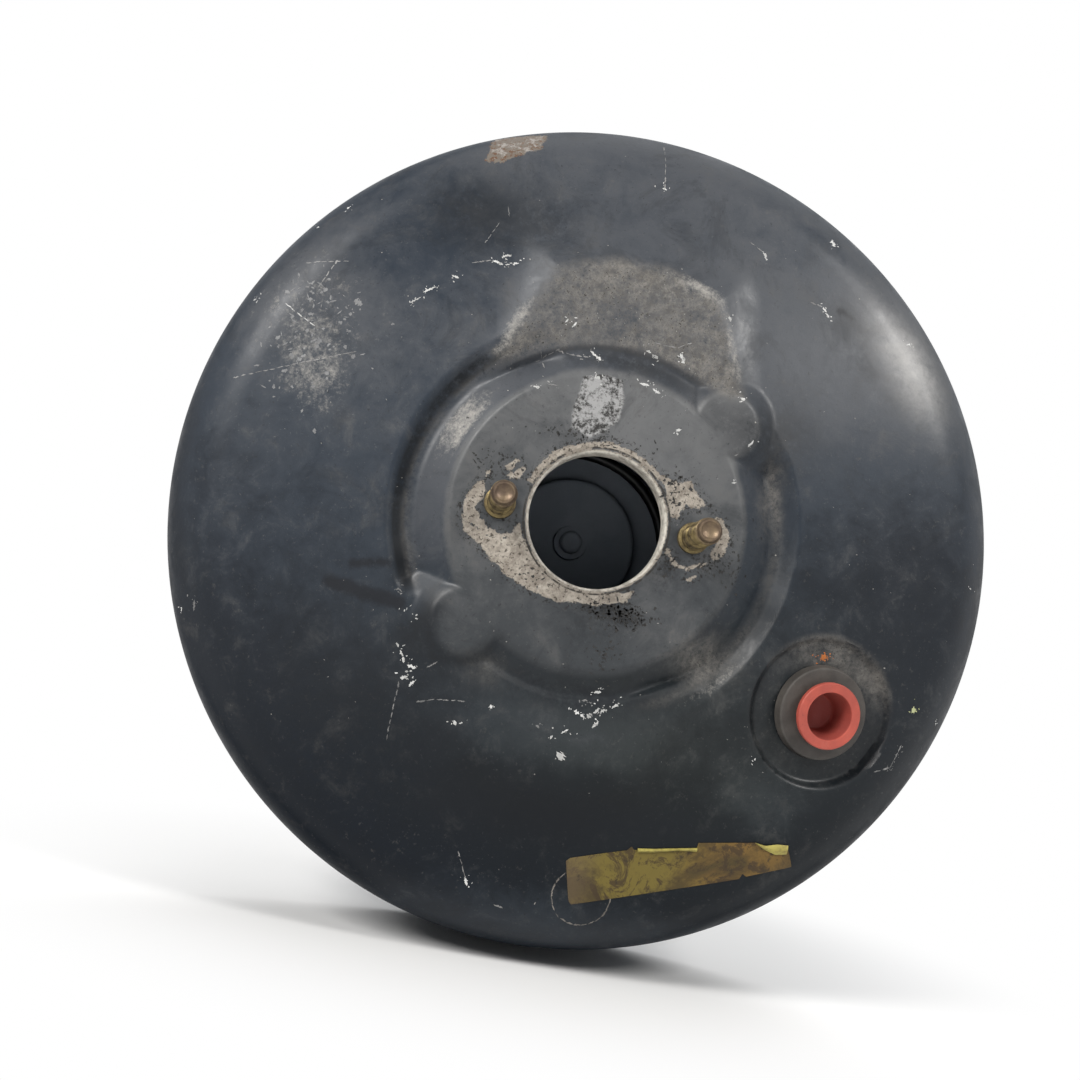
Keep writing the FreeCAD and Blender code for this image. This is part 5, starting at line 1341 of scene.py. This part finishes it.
def rear_side():
    """Pieces that show from behind, and the soft or sprung ones inside."""
    rear = lathe("rear_pressing", rounded(REAR_PROFILE), SHELL, 192)
    drill(rear, [rod(f"wall_cutter_{i}", STUD_HOLE, -4, 2, *place) for i, place in enumerate(WALL_STUDS)])
    shade(rear.data, 40)
    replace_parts(rear, "rear_shell")
    dress(rear, slots["shell_paint"])
    boot()
    main = coil("main_spring", "return_spring", 1.9, (40, 33), (-119.4, -33.6), 6.0)
    blend(main)
    small = coil("valve_spring", "poppet_spring", 0.6, (11.0, 11.0), (11.75, 21.6), 5.0)
    blend(small)
    push = coil("push_spring", "rod_spring", 1.0, (13.5, 9.5), (23.1, 41.9), 4.5)
    blend(push)
    rubber = lathe("rubber_poppet", rounded(POPPET_PROFILE), PISTON)
    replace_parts(dress(rubber, slots["black_rubber"]), "poppet_valve")
    rolling = lathe("rolling_diaphragm", rounded(DIAPHRAGM_PROFILE), None, 160)
    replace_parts(dress(rolling, slots["black_rubber"]), "diaphragm")
    blend(rolling)


# Floor, light and camera

FLOOR_FADE = (0.10, 0.22)
FLOOR_SIZE = 8
FLOOR_COLOUR = (0.9, 0.9, 0.9)
SKY_COLOUR = (0.9, 0.95, 1.0)
SKY_STRENGTH = 0.22
LAMP_AIM = (0, -0.06, 0)
WARM = (1.0, 0.98, 0.95)
CAMERA_PLACE = (-0.0415, -0.5240, -0.0492)
CAMERA_RIGHT = (0.98176, -0.07981, 0.17257)
CAMERA_DOWN = (0.17934, 0.08721, -0.97991)
CAMERA_FORWARD = (0.06316, 0.99299, 0.09993)
FOCAL_PIXELS = 1330.0
PHOTO_PIXELS = 1080.0
SENSOR = 36.0


def camera():
    """The camera at the photograph's place and angle."""
    data = bpy.data.cameras.new("camera")
    data.sensor_width = SENSOR
    data.lens = FOCAL_PIXELS / PHOTO_PIXELS * SENSOR
    data.clip_start = 0.01
    item = bpy.data.objects.new("camera", data)
    bpy.context.scene.collection.objects.link(item)
    right, up, back = Vector(CAMERA_RIGHT), -Vector(CAMERA_DOWN), -Vector(CAMERA_FORWARD)
    turn = Matrix((right, up, back)).transposed().to_4x4()
    item.matrix_world = Matrix.Translation(Vector(CAMERA_PLACE)) @ turn
    bpy.context.scene.camera = item


def lamp(name, place, size, power, colour=(1, 1, 1)):
    """A soft square lamp that looks at the booster."""
    data = bpy.data.lights.new(name, "AREA")
    data.shape = "SQUARE"
    data.size = size
    data.energy = power
    data.color = colour
    item = bpy.data.objects.new(name, data)
    bpy.context.scene.collection.objects.link(item)
    item.location = place
    item.rotation_euler = (Vector(LAMP_AIM) - Vector(place)).to_track_quat("-Z", "Y").to_euler()
    return item


def see_white(g, output, under, over):
    """Shows over to the camera, to mirrors and through glass, and under to the light."""
    path = g.add("ShaderNodeLightPath").outputs
    seen = g.math("MAXIMUM", path["Is Camera Ray"], path["Is Glossy Ray"])
    seen = g.math("MAXIMUM", seen, path["Is Transmission Ray"])
    shown = g.fill(g.add("ShaderNodeMixShader"), seen, under, over)
    g.feed(g.tree.nodes[output].inputs["Surface"], shown)


def sky(scene):
    """White surroundings that light the booster dimly."""
    scene.world = bpy.data.worlds.new("studio")
    g = Graph(scene.world)
    dim = g.fill(g.tree.nodes["Background"], SKY_COLOUR, SKY_STRENGTH)
    see_white(g, "World Output", dim, g.fill(g.add("ShaderNodeBackground"), (1.0, 1.0, 1.0), 1.0))


def floor():
    """A pale floor that fades to white away from the booster."""
    bpy.ops.mesh.primitive_plane_add(size=FLOOR_SIZE, location=(0, 0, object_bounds()[0][2]))
    item = bpy.context.object
    item.name = "floor"
    g = new_graph("floor")
    g.colour = FLOOR_COLOUR
    item.data.materials.append(g.done(roughness=0.9))
    away = g.add("ShaderNodeVectorMath", operation="LENGTH")
    g.feed(away.inputs[0], g.place)
    fade = g.ramp(away.outputs["Value"], *FLOOR_FADE)
    pale = g.shader.outputs[0]
    clear = g.fill(g.add("ShaderNodeMixShader"), fade, pale, g.add("ShaderNodeEmission").outputs[0])
    see_white(g, "Material Output", pale, clear)
    item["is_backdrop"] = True


def studio():
    """Floor, surroundings and soft lamps."""
    scene = bpy.context.scene
    scene.view_settings.view_transform = "Standard"
    sky(scene)
    lamp("left", (-1.05, -1.0, 0.85), 0.6, 25, WARM)
    lamp("right", (0.98, -1.05, 0.95), 0.4, 13, WARM)
    lamp("rear", (0.5, 1.3, 0.9), 0.9, 22).visible_glossy = False
    floor()


GRIME = specks(21, GRIME_SPOTS, (0.3, 1.0), (0.1, 0.36))
SCUFF = specks(23, SCUFF_SPOTS, (0.2, 1.3), (0.2, 0.65))
SPECKS = specks(22, SPECK_SPOTS, (0.05, 0.3), (0.1, 0.2))

# Slivers on the paint: strokes, seed, two tones and roughness

SLIVERS = {
    "paint_chips": (CHIPS, 11, (0.34, 0.34, 0.33), (0.62, 0.62, 0.61), (0.4, 0.6)),
    "hairlines": (SCRATCHES, 12, (0.10, 0.10, 0.10), (0.26, 0.255, 0.25), (0.4, 0.6)),
    "ring_scratch": (RING_SCRATCH, 15, (0.10, 0.09, 0.08), (0.22, 0.2, 0.18), (0.5, 0.7)),
    "grime": (GRIME, 16, (0.006, 0.006, 0.006), (0.02, 0.018, 0.016), (0.3, 0.5)),
    "scuff": (SCUFF, 18, (0.10, 0.102, 0.107), (0.2, 0.202, 0.205), (0.5, 0.7)),
    "pale_specks": (SPECKS, 17, (0.16, 0.155, 0.15), (0.3, 0.29, 0.27), (0.5, 0.7)),
    "orange_dab": (ORANGE_DAB, 13, (0.42, 0.12, 0.02), (0.5, 0.16, 0.03), (0.6, 0.7)),
    "pale_dab": (PALE_DAB, 14, (0.36, 0.38, 0.16), (0.46, 0.48, 0.3), (0.6, 0.7)),
}
STREWN = ("grime", "scuff", "pale_specks")
FLAKE_PATCHES = 250
# Parts inside the bore, given pale paint that stands in for light
LIT_INSIDE_NODES = ("diaphragm_plate", "pushrod_cage", "front_plate", "output_pushrod", "rear_plate")

slots = {name: finish(name, *values) for name, values in FINISHES.items()}
slots["shell_paint"] = plain_paint()
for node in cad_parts.values():
    dress(node, slots[node.data.materials[0].name])
# Painted light on the parts inside the bore
lit_inside_finish = finish("lit_inside", *INSIDE_LIGHT_TONES, 40, (0.55, 0.7))
for name in LIT_INSIDE_NODES:
    dress(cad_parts[name], lit_inside_finish)
dress(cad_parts["valve_body"], valve_finish())

shell = front_shell()
shell_marks(shell)
dress(shell, marked_paint())
for name, (marks, seed, low, high, rough) in SLIVERS.items():
    dress(flakes(name, marks, seed, name not in STREWN), finish(name, low, high, FLAKE_PATCHES, rough))
studs_and_rod()
grommet()
transit_plug()
label()
rear_side()
camera()
studio()
